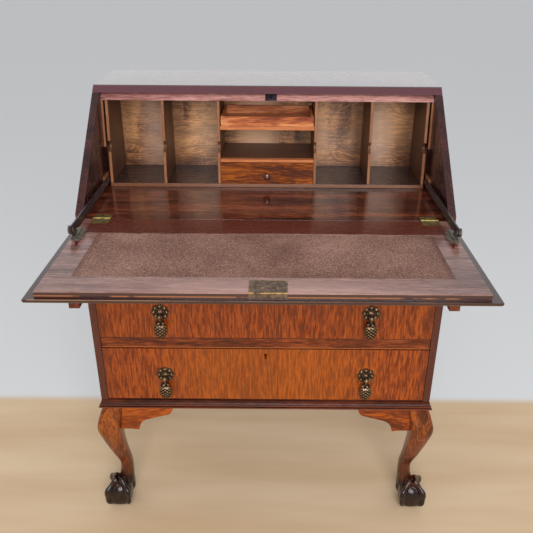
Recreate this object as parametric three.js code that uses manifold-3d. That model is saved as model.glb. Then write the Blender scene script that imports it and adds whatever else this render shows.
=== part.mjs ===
import * as THREE from 'three';
import { mergeVertices } from 'three/addons/utils/BufferGeometryUtils.js';
import Module from 'manifold-3d';

// A writing bureau with a sloping fall, on cabriole legs with claw-and-ball feet.
// The fall is open and level, carried by the two lopers that are pulled out under it.
// Lengths are in millimetres: x runs to the right, y to the back and z up.
// Until the last lines y = 0 is the front of the case, and z = 0 is the floor.

// Clearances
const glueGap = 0.3;
const slideGap = 0.6;
const cutOverrun = 3;

// Case: the body is measured from the legs to the writing surface, and the desk from there to the top
const caseWidth = 760;
const caseDepth = 414;
const bodyHeight = 475;
const deskHeight = 222;
const sideThickness = 16;
const topThickness = 14.5;
const backThickness = 7;
const topDepth = 172;
const hingeSetback = 4;

// Base board and its moulded edge
const baseThickness = 20;
const baseProjection = 7;
const baseBeadHeight = 5;
const baseCoveShare = 0.35;
const runnerHeight = 4.2;

// Rails between the drawers
const railSetback = 3;
const railDepth = 45;
const dustThickness = 12;
const middleRailHeight = 27.8;
const loperRailHeight = 33;
const partitionThickness = 17.5;
const stopRailHeight = 15;
const stopRailDepth = 6;

// Fall
const fallThickness = 19;
const lipThickness = 8;
const lipRound = 6;
const lipOverhang = 6.5;
const lipStart = 5.5;
const fallSideGap = 1.5;
const fallTopGap = 1;
const insertWidth = 634;
const insertNear = 70;
const insertFrontMargin = 52;
const insertThickness = 1.5;

// Fall lock and its strike plate
const lockCentre = 8;
const lockWidth = 62;
const lockLength = 43;
const lockPlate = 1.5;
const lockBodyWidth = 46;
const lockBodyLength = 30;
const lockBodyDepth = 9;
const lockSelvedge = 10;
const strikeWidth = 25;
const keyholeRadius = 3.5;
const keyholeHeight = 15;
const keyholeSlot = 4;

// Hinges
const hingeInset = 18;
const hingeLength = 35;
const hingeLeafDepth = 12;
const hingeLeafThickness = 1.5;
const knuckleRadius = 2.4;
const hingePinRadius = 1;
const hingePinGap = 0.3;
const knuckleCount = 5;

// Stays of the fall
const stayThickness = 3;
const stayHeight = 15;
const stayLength = 269;
const stayPivotReach = 98;
const stayPivotRise = 20;
const stayEyeRadius = 8;
const stayPinRadius = 3;
const stayPinHeadRadius = 4.8;
const stayPinHead = 1.2;
const stayPinGap = 0.5;
const stayLane = 5.4;
const bracketPlateWidth = 10;
const bracketPlateNear = 51;
const bracketPlateFar = 96;
const bracketPlateThickness = 3;
const bracketStrut = 22;
const strutShare = 0.6;
const guideSlot = 6;
const guideTongue = 22;
const guideSetback = 24;
const guideStepShare = 0.433;

// Lopers
const loperThickness = 20;
const loperLength = 330;
const loperTravel = 150;
const loperGap = 0.8;

// Long drawers
const lowerDrawerShare = 0.31811;
const upperDrawerShare = 0.29952;
const drawerFrontThickness = 20;
const drawerWall = 10;
const drawerBottom = 5;
const drawerBottomRise = 6;
const drawerTopStep = 9;
const drawerGap = 0.8;
const drawerTopGap = 1.6;
const drawerDepth = 392;
const keyholeDrop = 19;

// Drawer handles
const handleInset = 137;
const handleRiseShare = 0.5;
const rosetteRadius = 20.5;
const rosetteThickness = 3.2;
const rosetteLobes = 8;
const handlePinDrop = 6;
const handlePinReach = 11;
const handlePinRadius = 1.5;
const handleEyeRadius = 5.5;
const handleEyeThickness = 5.2;
const handleEyeGap = 0.6;
const handleEarThickness = 2.2;
const handleEarRadius = 3;
const dropLength = 36;
const dropWidth = 28;
const dropDepthShare = 0.56;
const dropReach = 52.5;

// Pigeonhole unit
const unitDepth = 136;
const unitTopClearance = 3;
const unitBackSpace = 88;
const unitBackThickness = 5;
const unitFloorThickness = 8;
const dividerThickness = 6;
const centreBay = 209;
const unitSideGap = 9;
const notchHeight = 24;
const notchDepth = 12;
const notchShoulder = 3;
const notchShare = 0.438;
const shelfOverhang = 5;
const upperShelfShare = 0.665;
const upperShelfThickness = 8;
const lowerShelfShare = 0.313;
const lowerShelfThickness = 6;
const smallFrontThickness = 9;
const smallWall = 6;
const unitBoxGap = 6;
const trayFrontHeight = 21;
const trayGap = 2;
const knobRadius = 8;
const knobReach = 15;
const knobDrop = 4;

// Legs
const legHeight = 308;
const legTopWidth = 47;
const legTopInset = 22.5;
const kneeWidth = 55;
const kneeInset = 9.5;
const kneeHeight = 250;
const ankleWidth = 30;
const ankleInset = 31;
const ankleHeight = 112;
const ballRadius = 34.5;
const ballInset = 12;
const ballFlat = 2.5;
const clawCount = 4;
const clawKnuckleCount = 3;
const clawRadius = 9.5;
const clawSeat = 1.5;
const clawTipShare = 0.42;
const knuckleShare = 0.16;
const clawTopAngle = 72;
const clawTurn = 124;
const footSquareness = 2.3;
const topSquareness = 4.5;
const squarenessRise = 1.5;

// Brackets beside the knees
const bracketLength = 116;
const sideBracketLength = 84;
const bracketHeight = 72.5;
const bracketThickness = 18;
const bracketSetback = 3;

// Worked out from the sizes above
const writingHeight = legHeight + bodyHeight;
const caseHeight = writingHeight + deskHeight;
const halfWidth = caseWidth / 2;
const innerHalf = halfWidth - sideThickness;
const fitHalf = innerHalf - glueGap;
const baseBottom = legHeight + glueGap;
const baseTop = baseBottom + baseThickness;
const sideBottom = baseTop + glueGap;
const topUnder = caseHeight - topThickness;
const backFront = caseDepth - backThickness;
const fitBack = backFront - glueGap;
const writingUnder = writingHeight - fallThickness;
const slope = Math.atan2(caseHeight - writingHeight, caseDepth - topDepth - hingeSetback);
const edgeOut = fallThickness - lipThickness - glueGap;

const drawerStack = writingUnder - baseTop;
const lowerDrawerHeight = drawerStack * lowerDrawerShare;
const upperDrawerHeight = drawerStack * upperDrawerShare;
const lowerDrawerBottom = baseTop + runnerHeight + drawerGap;
const middleRailBottom = lowerDrawerBottom + lowerDrawerHeight + drawerTopGap;
const middleRailTop = middleRailBottom + middleRailHeight;
const upperDrawerBottom = middleRailTop + drawerGap;
const loperRailBottom = upperDrawerBottom + upperDrawerHeight + drawerTopGap;
const loperRailTop = loperRailBottom + loperRailHeight;
const loperInner = innerHalf - loperGap - loperThickness;
const partitionOuter = loperInner - loperGap;
const partitionInner = partitionOuter - partitionThickness;
const stopRailTop = topUnder - glueGap;
const stopRailBottom = stopRailTop - stopRailHeight;
const stopRailBack = slopeY(stopRailTop, -glueGap) + stopRailDepth;

const fallHalf = innerHalf - fallSideGap;
const fallReach = alongSlope(slopeY(topUnder, edgeOut), topUnder) - fallTopGap;
const lipReach = fallReach + lipOverhang;
const lipTop = writingUnder + lipThickness;

const unitInnerDepth = caseDepth - unitBackSpace;
const unitFront = unitInnerDepth - unitDepth;
const unitHeight = topUnder - writingHeight;
const upperShelfTop = writingHeight + unitHeight * upperShelfShare;
const lowerShelfTop = writingHeight + unitHeight * lowerShelfShare;
const notchMiddle = writingHeight + unitHeight * notchShare;
const guideStep = writingHeight + unitHeight * guideStepShare;
const unitHalf = innerHalf - unitSideGap;
const unitFloorTop = writingHeight + glueGap + unitFloorThickness;
const dividerBottom = unitFloorTop + glueGap;
const dividerBack = unitInnerDepth - glueGap;
const outerDivider = unitHalf - dividerThickness / 2;
const innerDivider = (centreBay + dividerThickness) / 2;
const middleDivider = (outerDivider + innerDivider) / 2;
const bayHalf = centreBay / 2 - glueGap;

const stayInner = innerHalf - stayLane - stayThickness;
const stayOuter = stayInner + stayThickness;
const stayPivotY = hingeSetback - stayPivotReach;
const stayPivotZ = writingHeight + stayPivotRise;
const stayRear = stayPivotY + stayLength;
const guideInner = stayOuter + slideGap;

const black = 0x17100d;
const darkMahogany = finish(0x4a2420, 0.35);
const warmMahogany = finish(0x8c4a26, 0.4);
const fallMahogany = finish(0x6b3a30, 0.35);
const rawWood = finish(0xb57a48, 0.7);
const oak = finish(0xa8743c, 0.55);
const legWood = finish(0x6e3a1e, 0.35);
const leather = finish(0x5f4238, 0.75);
const brass = finish(0xb59a54, 0.35, 0.9);
const agedBrass = finish(0x6d5c40, 0.45, 0.85);
const blackSteel = finish(black, 0.5, 0.6);

const bureau = new THREE.Group();
const wasm = await Module();
wasm.setup();

addCase();
addLegs();
addUnit();
addDrawers();
addLopers();
addFall();
addStays();

const bounds = new THREE.Box3().setFromObject(bureau);
bureau.position.y = -(bounds.min.y + bounds.max.y) / 2;

export default bureau;

// Planes and points of the slope: out is measured square to the plane of the hinge line, away from the case
function slopeY(z, out) {
  return hingeSetback + ((z - writingHeight) * Math.cos(slope) - out) / Math.sin(slope);
}

function slopeZ(y, out) {
  return writingHeight + ((y - hingeSetback) * Math.sin(slope) + out) / Math.cos(slope);
}

function alongSlope(y, z) {
  return (y - hingeSetback) * Math.cos(slope) + (z - writingHeight) * Math.sin(slope);
}

function slopePoint(along, out) {
  const y = hingeSetback + along * Math.cos(slope) - out * Math.sin(slope);
  const z = writingHeight + along * Math.sin(slope) + out * Math.cos(slope);
  return [y, z];
}

// Materials and nodes
function finish(color, roughness, metalness = 0) {
  return new THREE.MeshStandardMaterial({ color, roughness, metalness });
}

function addNode(name, solid, material) {
  const { vertProperties, triVerts } = solid.getMesh();
  const geometry = new THREE.BufferGeometry();
  geometry.setAttribute('position', new THREE.BufferAttribute(vertProperties, 3));
  geometry.setIndex(new THREE.BufferAttribute(triVerts, 1));
  geometry.computeVertexNormals();
  const mesh = new THREE.Mesh(geometry, material);
  mesh.name = name;
  bureau.add(mesh);
}

// A right-hand piece and its mirror image on the left
function addPair(name, rightSolid, material) {
  addNode(`${name}_right`, rightSolid, material);
  addNode(`${name}_left`, rightSolid.mirror([1, 0, 0]), material);
}

// Solids
function solidOf(geometry) {
  const bare = new THREE.BufferGeometry();
  bare.setAttribute('position', geometry.getAttribute('position').clone());
  const count = geometry.getAttribute('position').count;
  bare.setIndex(geometry.index ?? Array.from({ length: count }, (_, i) => i));
  const merged = mergeVertices(bare);
  const corners = merged.index.array;
  const point = (i) => new THREE.Vector3().fromBufferAttribute(merged.getAttribute('position'), i);
  const triangles = [];
  let volume = 0;
  for (let i = 0; i < corners.length; i += 3) {
    const [a, b, c] = corners.slice(i, i + 3);
    if (a === b || b === c || c === a) continue;
    triangles.push([a, b, c]);
    volume += point(a).dot(point(b).cross(point(c)));
  }
  if (volume < 0) triangles.forEach((triangle) => triangle.reverse());
  return new wasm.Manifold(new wasm.Mesh({
    numProp: 3,
    vertProperties: new Float32Array(merged.getAttribute('position').array),
    triVerts: new Uint32Array(triangles.flat()),
  }));
}

function block(x0, x1, y0, y1, z0, z1) {
  const geometry = new THREE.BoxGeometry(x1 - x0, y1 - y0, z1 - z0);
  geometry.translate((x0 + x1) / 2, (y0 + y1) / 2, (z0 + z1) / 2);
  return solidOf(geometry);
}

function shapeOf(points) {
  return new THREE.Shape(points.map(([across, up]) => new THREE.Vector2(across, up)));
}

// A shape in x and z carried along y
function prismY(shape, y0, y1, curveSegments = 6) {
  const geometry = new THREE.ExtrudeGeometry(shape, { depth: y1 - y0, bevelEnabled: false, curveSegments });
  geometry.rotateX(Math.PI / 2);
  geometry.translate(0, y1, 0);
  return solidOf(geometry);
}

// A shape in y and z carried along x
function prismX(shape, x0, x1, curveSegments = 6) {
  const geometry = new THREE.ExtrudeGeometry(shape, { depth: x1 - x0, bevelEnabled: false, curveSegments });
  geometry.applyMatrix4(new THREE.Matrix4().makeBasis(axis(0, 1, 0), axis(0, 0, 1), axis(1, 0, 0)));
  geometry.translate(x0, 0, 0);
  return solidOf(geometry);
}

function axis(x, y, z) {
  return new THREE.Vector3(x, y, z);
}

function rodX(radius, x0, x1, y, z, sides = 12) {
  const geometry = new THREE.CylinderGeometry(radius, radius, x1 - x0, sides);
  geometry.rotateZ(Math.PI / 2);
  geometry.translate((x0 + x1) / 2, y, z);
  return solidOf(geometry);
}

// A skin over rings of points, each anticlockwise seen from the last ring, closed at both ends
function loft(rings) {
  const count = rings[0].length;
  const positions = rings.flat().flatMap((point) => point.toArray());
  const index = [];
  for (let ring = 0; ring + 1 < rings.length; ring += 1) {
    for (let i = 0; i < count; i += 1) {
      const a = ring * count + i;
      const b = ring * count + (i + 1) % count;
      index.push(a, b, b + count, a, b + count, a + count);
    }
  }
  const last = (rings.length - 1) * count;
  for (let i = 1; i + 1 < count; i += 1) {
    index.push(0, i + 1, i);
    index.push(last, last + i, last + i + 1);
  }
  const geometry = new THREE.BufferGeometry();
  geometry.setAttribute('position', new THREE.Float32BufferAttribute(positions, 3));
  geometry.setIndex(index);
  return solidOf(geometry);
}

// A board whose front and side edges follow a profile of [how far out, height] from bottom to top
function mouldedBoard(profile, half, front, back) {
  return loft(profile.map(([out, z]) => [
    axis(-half - out, front - out, z),
    axis(half + out, front - out, z),
    axis(half + out, back, z),
    axis(-half - out, back, z),
  ]));
}

// Case
function addCase() {
  const back = block(-fitHalf, fitHalf, backFront, caseDepth, sideBottom, topUnder - glueGap);
  addPair('case_side', caseSide(), darkMahogany);
  addNode('base_board', baseBoard(), darkMahogany);
  addNode('middle_rail', railWithDustBoard(middleRailBottom, middleRailTop), warmMahogany);
  addNode('loper_frame', loperFrame(), darkMahogany);
  addNode('writing_board', writingBoard(), fallMahogany);
  addNode('top_board', topBoard(), darkMahogany);
  addNode('stop_rail', stopRail().subtract(strikePlate(glueGap)), rawWood);
  addNode('strike_plate', strikePlate(0), blackSteel);
  addNode('back_panel', back, oak);
}

function caseSide() {
  const top = topUnder - glueGap;
  const outline = shapeOf([
    [0, sideBottom],
    [caseDepth, sideBottom],
    [caseDepth, top],
    [slopeY(top, edgeOut), top],
    [0, slopeZ(0, edgeOut)],
  ]);
  return prismX(outline, innerHalf, halfWidth);
}

function topBoard() {
  const outline = shapeOf([
    [slopeY(topUnder, edgeOut), topUnder],
    [caseDepth, topUnder],
    [caseDepth, caseHeight],
    [slopeY(caseHeight, edgeOut), caseHeight],
  ]);
  return prismX(outline, -halfWidth, halfWidth);
}

// Two half-round beads at the foot of the edge, then a hollow up to the case;
// the raised middle is what the lower drawer runs on
function baseBoard() {
  const beadRadius = baseBeadHeight / 2;
  const hollowShares = [0.3, 0.65, 1];
  const beadTurnShare = 0.9;
  const profile = [];
  for (const bead of [0, 1]) {
    const middle = baseBottom + beadRadius + bead * baseBeadHeight;
    const root = baseProjection - beadRadius * (1 + bead);
    for (let turn = -0.5; turn <= 0.5; turn += 0.25) {
      const angle = turn * Math.PI * beadTurnShare;
      profile.push([root + beadRadius * Math.cos(angle), middle + beadRadius * Math.sin(angle)]);
    }
  }
  const hollowFoot = profile.at(-1);
  const hollowHeight = baseTop - hollowFoot[1];
  for (const share of hollowShares) {
    profile.push([hollowFoot[0] * (1 - share) ** 2 * baseCoveShare, hollowFoot[1] + hollowHeight * share]);
  }
  profile[0][1] = baseBottom;
  const runner = block(-fitHalf, fitHalf, railSetback, fitBack, baseBottom, baseTop + runnerHeight);
  return mouldedBoard(profile, halfWidth, 0, caseDepth).add(runner);
}

function railWithDustBoard(bottom, top) {
  const rail = block(-fitHalf, fitHalf, railSetback, railSetback + railDepth, bottom, top);
  return rail.add(block(-fitHalf, fitHalf, railSetback, fitBack, top - dustThickness, top));
}

// The rail under the lopers with its dust board,
// and the partitions that keep the lopers apart from the top drawer
function loperFrame() {
  const frame = railWithDustBoard(loperRailBottom, loperRailTop);
  const partition = block(partitionInner, partitionOuter, railSetback, fitBack,
    loperRailTop - dustThickness, writingUnder - glueGap);
  return frame.add(partition).add(partition.mirror([1, 0, 0]));
}

function writingBoard() {
  const front = hingeSetback + glueGap;
  let board = block(-fitHalf, fitHalf, front, fitBack, writingUnder, writingHeight);
  for (const side of [-1, 1]) {
    const [inner, outer] = hingeSpan(side, glueGap);
    const floor = writingHeight - hingeLeafThickness - glueGap;
    const back = hingeSetback + hingeLeafDepth + glueGap;
    board = board.subtract(block(inner, outer, 0, back, floor, writingHeight + cutOverrun));
    board = board.subtract(rodX(knuckleRadius + glueGap, inner, outer, hingeSetback, writingHeight));
  }
  return board;
}

function stopRail() {
  const outline = shapeOf([
    [slopeY(stopRailBottom, -glueGap), stopRailBottom],
    [stopRailBack, stopRailBottom],
    [stopRailBack, stopRailTop],
    [slopeY(stopRailTop, -glueGap), stopRailTop],
  ]);
  return prismX(outline, -fitHalf, fitHalf);
}

function strikePlate(grow) {
  const low = alongSlope(slopeY(stopRailBottom, 0), stopRailBottom) + lockPlate;
  const high = alongSlope(slopeY(stopRailTop, 0), stopRailTop) - lockPlate;
  const face = grow > 0 ? cutOverrun : -glueGap;
  const outline = shapeOf([
    slopePoint(low - grow, -glueGap - lockPlate - grow),
    slopePoint(high + grow, -glueGap - lockPlate - grow),
    slopePoint(high + grow, face),
    slopePoint(low - grow, face),
  ]);
  return prismX(outline, lockCentre - strikeWidth / 2 - grow, lockCentre + strikeWidth / 2 + grow);
}

// Legs: sections are drawn for the front right corner and mirrored to the other three
function addLegs() {
  const leg = legBody(0).add(sideBracket()).add(clawFoot());
  const floor = block(-caseWidth, caseWidth, -caseWidth, caseWidth, 0, legHeight);
  const front = leg.intersect(floor);
  const back = front.mirror([0, 1, 0]).translate([0, caseDepth, 0]);
  addPair('front_leg', front, legWood);
  addPair('back_leg', back, legWood);
  addPair('front_bracket', frontBracket(), legWood);
}

function legBody(grow) {
  const footShares = { inset: 0.7, width: 1.4, height: 1.55 };
  const instepShares = { inset: 0.9, width: 1.17, height: 2.1 };
  const calfShares = { inset: 0.6, width: 0.28, height: 1.4 };
  const underKneeShares = { inset: 0.18, width: 0.86, height: 0.84 };
  const overKneeShares = { inset: 0.46, width: 0.505 };
  const taper = ankleInset - ballInset;
  const swell = ankleInset - kneeInset;
  const stations = new THREE.CatmullRomCurve3([
    axis(ballInset + taper * footShares.inset, ankleWidth * footShares.width,
      ballRadius * footShares.height),
    axis(ballInset + taper * instepShares.inset, ankleWidth * instepShares.width,
      ballRadius * instepShares.height),
    axis(ankleInset, ankleWidth, ankleHeight),
    axis(kneeInset + swell * calfShares.inset, ankleWidth + (kneeWidth - ankleWidth) * calfShares.width,
      ankleHeight * calfShares.height),
    axis(kneeInset + swell * underKneeShares.inset, kneeWidth * underKneeShares.width,
      kneeHeight * underKneeShares.height),
    axis(kneeInset, kneeWidth, kneeHeight),
    axis((kneeInset + legTopInset) * overKneeShares.inset, (kneeWidth + legTopWidth) * overKneeShares.width,
      (kneeHeight + legHeight) / 2),
    axis(legTopInset, legTopWidth, legHeight),
  ]);
  const steps = 11;
  const rings = stations.getPoints(steps).map((station, step) => {
    const squareness = footSquareness + (topSquareness - footSquareness) * (step / steps) ** squarenessRise;
    return legRing(station.x, station.y / 2 + grow, station.z, squareness);
  });
  return loft(rings);
}

function legRing(inset, half, z, squareness) {
  const corners = 12;
  const ring = [];
  for (let i = 0; i < corners; i += 1) {
    const angle = (i + 0.5) / corners * Math.PI * 2;
    const across = Math.sign(Math.cos(angle)) * Math.abs(Math.cos(angle)) ** (2 / squareness);
    const deep = Math.sign(Math.sin(angle)) * Math.abs(Math.sin(angle)) ** (2 / squareness);
    ring.push(axis(halfWidth - inset + across * half, inset + deep * half, z));
  }
  return ring;
}

// A ball held by four claws, each a tapering toe with three knuckles that ends at the floor
function clawFoot() {
  const centre = axis(halfWidth - ballInset, ballInset, ballRadius - ballFlat);
  const ball = new THREE.SphereGeometry(ballRadius, 16, 10);
  ball.rotateX(Math.PI / 2);
  ball.translate(centre.x, centre.y, centre.z);
  let foot = solidOf(ball);
  for (let claw = 0; claw < clawCount; claw += 1) {
    foot = foot.add(toe(centre, (claw + 0.5) / clawCount * Math.PI * 2));
  }
  return foot;
}

function toe(centre, bearing) {
  const outward = axis(Math.cos(bearing), Math.sin(bearing), 0);
  const sideways = axis(-Math.sin(bearing), Math.cos(bearing), 0);
  const steps = 9;
  const sides = 6;
  const rings = [];
  for (let step = 0; step <= steps; step += 1) {
    const share = step / steps;
    const lift = THREE.MathUtils.degToRad(clawTopAngle - clawTurn * share);
    const radial = outward.clone().multiplyScalar(Math.cos(lift)).add(axis(0, 0, Math.sin(lift)));
    const path = centre.clone().addScaledVector(radial, ballRadius + clawSeat);
    const knuckle = 1 + knuckleShare * Math.cos(share * clawKnuckleCount * Math.PI * 2);
    const radius = clawRadius * (1 - (1 - clawTipShare) * share) * knuckle;
    const ring = [];
    for (let i = 0; i < sides; i += 1) {
      const angle = i / sides * Math.PI * 2;
      const point = path.clone().addScaledVector(radial, radius * Math.cos(angle));
      ring.push(point.addScaledVector(sideways, radius * Math.sin(angle)));
    }
    rings.push(ring);
  }
  return loft(rings);
}

// The lower edge of a bracket: a short flat, a pointed cusp, a hollow, and a long rise to a rounded tip
function bracketShape(start, length) {
  const bracketShares = {
    root: [-0.12, 0], foot: [-0.12, 0.97], flat: [0.16, 0.93], cusp: [0.28, 1], hollow: [0.31, 0.61],
    rise: [0.51, 0.54], shoulder: [0.9, 0.36], round: [0.975, 0.31], tip: [1, 0.16], end: [1, 0],
  };
  const shape = new THREE.Shape();
  const at = ([along, down]) => [start + length * along, legHeight - bracketHeight * down];
  shape.moveTo(...at(bracketShares.root));
  shape.lineTo(...at(bracketShares.foot));
  shape.quadraticCurveTo(...at(bracketShares.flat), ...at(bracketShares.cusp));
  shape.quadraticCurveTo(...at(bracketShares.hollow), ...at(bracketShares.rise));
  shape.lineTo(...at(bracketShares.shoulder));
  shape.quadraticCurveTo(...at(bracketShares.round), ...at(bracketShares.tip));
  shape.lineTo(...at(bracketShares.end));
  return shape;
}

function frontBracket() {
  const back = bracketSetback + bracketThickness;
  const tipAtLeft = prismY(bracketShape(0, bracketLength), bracketSetback, back);
  const root = halfWidth - legTopInset - legTopWidth / 2;
  return tipAtLeft.mirror([1, 0, 0]).translate([root, 0, 0]).subtract(legBody(glueGap));
}

function sideBracket() {
  const root = legTopInset + legTopWidth / 2;
  const outer = halfWidth - bracketSetback;
  return prismX(bracketShape(root, sideBracketLength), outer - bracketThickness, outer);
}

// Pigeonhole unit: its front leans back with the slope, from the writing board up to the stop rail
function unitFrontAt(z) {
  const rise = (z - writingHeight) / (stopRailBottom - writingHeight);
  const frontAtRail = slopeY(stopRailBottom, 0) + unitTopClearance;
  return unitFront + (frontAtRail - unitFront) * rise;
}

function addUnit() {
  const top = topUnder - glueGap;
  const seat = writingHeight + glueGap;
  const unitBack = unitInnerDepth + unitBackThickness;
  addNode('unit_floor', block(-unitHalf, unitHalf, unitFront, dividerBack, seat, unitFloorTop), rawWood);
  addNode('unit_back', block(-unitHalf, unitHalf, unitInnerDepth, unitBack, seat, top), oak);
  const names = ['inner', 'middle', 'outer'];
  [innerDivider, middleDivider, outerDivider].forEach((centre, i) => {
    const divider = prismX(dividerShape(), centre - dividerThickness / 2, centre + dividerThickness / 2, 8);
    addPair(`divider_${names[i]}`, divider, rawWood);
  });
  addNode('upper_shelf', shelf(upperShelfTop, upperShelfThickness), rawWood);
  addNode('lower_shelf', shelf(lowerShelfTop, lowerShelfThickness), rawWood);
  addNode('small_drawer', smallDrawer(), oak);
  addNode('small_drawer_knob', knob(), darkMahogany);
  addNode('letter_tray', letterTray(), oak);
}

function shelf(top, thickness) {
  const front = unitFrontAt(top) - shelfOverhang;
  return block(-bayHalf, bayHalf, front, dividerBack, top - thickness, top);
}

// A divider leans back at the front, has a scalloped notch half way up and is cut round the stop rail
function dividerShape() {
  const shape = new THREE.Shape();
  const top = topUnder - glueGap;
  const railFloor = stopRailBottom - glueGap;
  const notchTop = notchMiddle + notchHeight / 2;
  const notchFoot = notchMiddle - notchHeight / 2;
  shape.moveTo(unitFrontAt(dividerBottom), dividerBottom);
  shape.lineTo(dividerBack, dividerBottom);
  shape.lineTo(dividerBack, top);
  shape.lineTo(stopRailBack + glueGap, top);
  shape.lineTo(stopRailBack + glueGap, railFloor);
  shape.lineTo(unitFrontAt(railFloor), railFloor);
  shape.lineTo(unitFrontAt(notchTop), notchTop);
  shape.lineTo(unitFrontAt(notchTop) + notchShoulder, notchTop);
  const deep = unitFrontAt(notchMiddle) + notchDepth * 2 - notchShoulder;
  shape.quadraticCurveTo(deep, notchMiddle, unitFrontAt(notchFoot) + notchShoulder, notchFoot);
  shape.lineTo(unitFrontAt(notchFoot), notchFoot);
  return shape;
}

// A box open at the top, with a front that can stand higher than its walls
function openBox({
  half, front, length, bottom, wallTop, frontTop, frontHalf, frontBottom, frontThickness, wall, floor, rise,
}) {
  const back = front + length;
  let box = block(-half, half, front, back, bottom, wallTop);
  box = box.add(block(-frontHalf, frontHalf, front, front + frontThickness, frontBottom, frontTop));
  const inside = [-half + wall, half - wall, front + frontThickness, back - wall];
  box = box.subtract(block(...inside, bottom + rise + floor, frontTop + cutOverrun));
  if (rise > 0) {
    box = box.subtract(block(...inside, bottom - cutOverrun, bottom + rise));
  }
  return box;
}

function smallDrawer() {
  const half = bayHalf - slideGap;
  const bottom = unitFloorTop + slideGap;
  const top = lowerShelfTop - lowerShelfThickness - slideGap;
  return openBox({
    half, frontHalf: half, front: unitFront, length: dividerBack - unitBoxGap - unitFront,
    bottom, frontBottom: bottom, wallTop: top - slideGap, frontTop: top,
    frontThickness: smallFrontThickness, wall: smallWall, floor: smallWall / 2, rise: 0,
  });
}

function knob() {
  const knobShares = [
    [0, 0], [0.585, 0], [0.45, 0.2], [0.45, 0.4], [0.9, 0.55], [1, 0.72], [0.8, 0.9], [0.4, 1], [0, 1],
  ];
  const profile = knobShares.map(([out, along]) => new THREE.Vector2(out * knobRadius, along * knobReach));
  const geometry = new THREE.LatheGeometry(profile, 12);
  geometry.rotateX(Math.PI);
  const middle = (unitFloorTop + lowerShelfTop - lowerShelfThickness) / 2 - knobDrop;
  geometry.translate(0, unitFront - glueGap, middle);
  return solidOf(geometry);
}

function letterTray() {
  const bottom = upperShelfTop + glueGap;
  const half = bayHalf - trayGap;
  const top = bottom + trayFrontHeight;
  const front = unitFrontAt(upperShelfTop) - shelfOverhang / 2;
  return openBox({
    half, frontHalf: half, front, length: dividerBack - unitBoxGap - front,
    bottom, frontBottom: bottom, wallTop: top, frontTop: top,
    frontThickness: smallWall, wall: smallWall, floor: smallWall / 2, rise: 0,
  });
}

// Long drawers and their handles
function addDrawers() {
  const wide = innerHalf - drawerGap;
  const narrow = partitionInner - drawerGap;
  const topBottom = loperRailTop + drawerGap;
  const topTop = writingUnder - drawerGap;
  addDrawer('lower', wide, lowerDrawerBottom, lowerDrawerBottom + lowerDrawerHeight);
  addDrawer('upper', wide, upperDrawerBottom, upperDrawerBottom + upperDrawerHeight);
  addDrawer('top', narrow, topBottom, topTop);
}

function addDrawer(level, half, bottom, top) {
  const body = openBox({
    half, frontHalf: half, front: 0, length: drawerDepth,
    bottom, frontBottom: bottom, wallTop: top - drawerTopStep, frontTop: top,
    frontThickness: drawerFrontThickness, wall: drawerWall, floor: drawerBottom, rise: drawerBottomRise,
  });
  const keyholeEnd = drawerFrontThickness + cutOverrun;
  const keyhole = prismY(keyholeShape(0, top - keyholeDrop), -cutOverrun, keyholeEnd);
  addNode(`${level}_drawer`, body.subtract(keyhole), warmMahogany);
  const x = innerHalf - handleInset;
  const z = bottom + (top - bottom) * handleRiseShare;
  addPair(`${level}_rosette`, rosette().translate([x, 0, z]), agedBrass);
  addPair(`${level}_drop`, drop().translate([x, 0, z]), agedBrass);
}

function keyholeShape(x, z) {
  const shape = new THREE.Shape();
  const centre = z + keyholeHeight / 2 - keyholeRadius;
  const half = keyholeSlot / 2;
  const meet = Math.asin(half / keyholeRadius);
  shape.moveTo(x - half, z - keyholeHeight / 2);
  shape.lineTo(x + half, z - keyholeHeight / 2);
  shape.absarc(x, centre, keyholeRadius, -Math.PI / 2 + meet, Math.PI * 1.5 - meet, false);
  return shape;
}

// A stamped rosette with raised lobes, and two ears that hold the pin of the drop
function rosette() {
  const sides = rosetteLobes * 3;
  const plateShares = [
    [1, 0, 0.04], [0.84, 1, 0.05], [0.56, 0.5, 0.02], [0.3, 1.1, 0],
  ];
  const swellShare = 2.5;
  const rings = plateShares.map(([radiusShare, heightShare, lobeShare]) => {
    const ring = [];
    for (let i = 0; i < sides; i += 1) {
      const angle = i / sides * Math.PI * 2;
      const wave = Math.cos(angle * rosetteLobes);
      const radius = rosetteRadius * radiusShare * (1 + lobeShare * (wave - 1));
      const height = rosetteThickness * heightShare * (1 + lobeShare * swellShare * (wave - 1));
      ring.push(axis(radius * Math.cos(angle), radius * Math.sin(angle), height));
    }
    return ring;
  });
  let plate = loft(rings).rotate([90, 0, 0]).translate([0, -glueGap, 0]);
  const pinY = -handlePinReach;
  const pinZ = -handlePinDrop;
  const earInner = handleEyeThickness / 2 + handleEyeGap;
  const earOuter = earInner + handleEarThickness;
  const ear = prismX(earShape(pinY, pinZ), earInner, earOuter);
  plate = plate.add(ear).add(ear.mirror([1, 0, 0]));
  return plate.add(rodX(handlePinRadius, -earOuter + glueGap, earOuter - glueGap, pinY, pinZ, 10));
}

function earShape(pinY, pinZ) {
  const root = -rosetteThickness / 2;
  const shape = new THREE.Shape();
  shape.moveTo(root, pinZ + handleEarRadius);
  shape.lineTo(root, pinZ - handleEarRadius);
  shape.lineTo(pinY, pinZ - handleEarRadius);
  shape.absarc(pinY, pinZ, handleEarRadius, -Math.PI / 2, Math.PI / 2, true);
  return shape;
}

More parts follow.
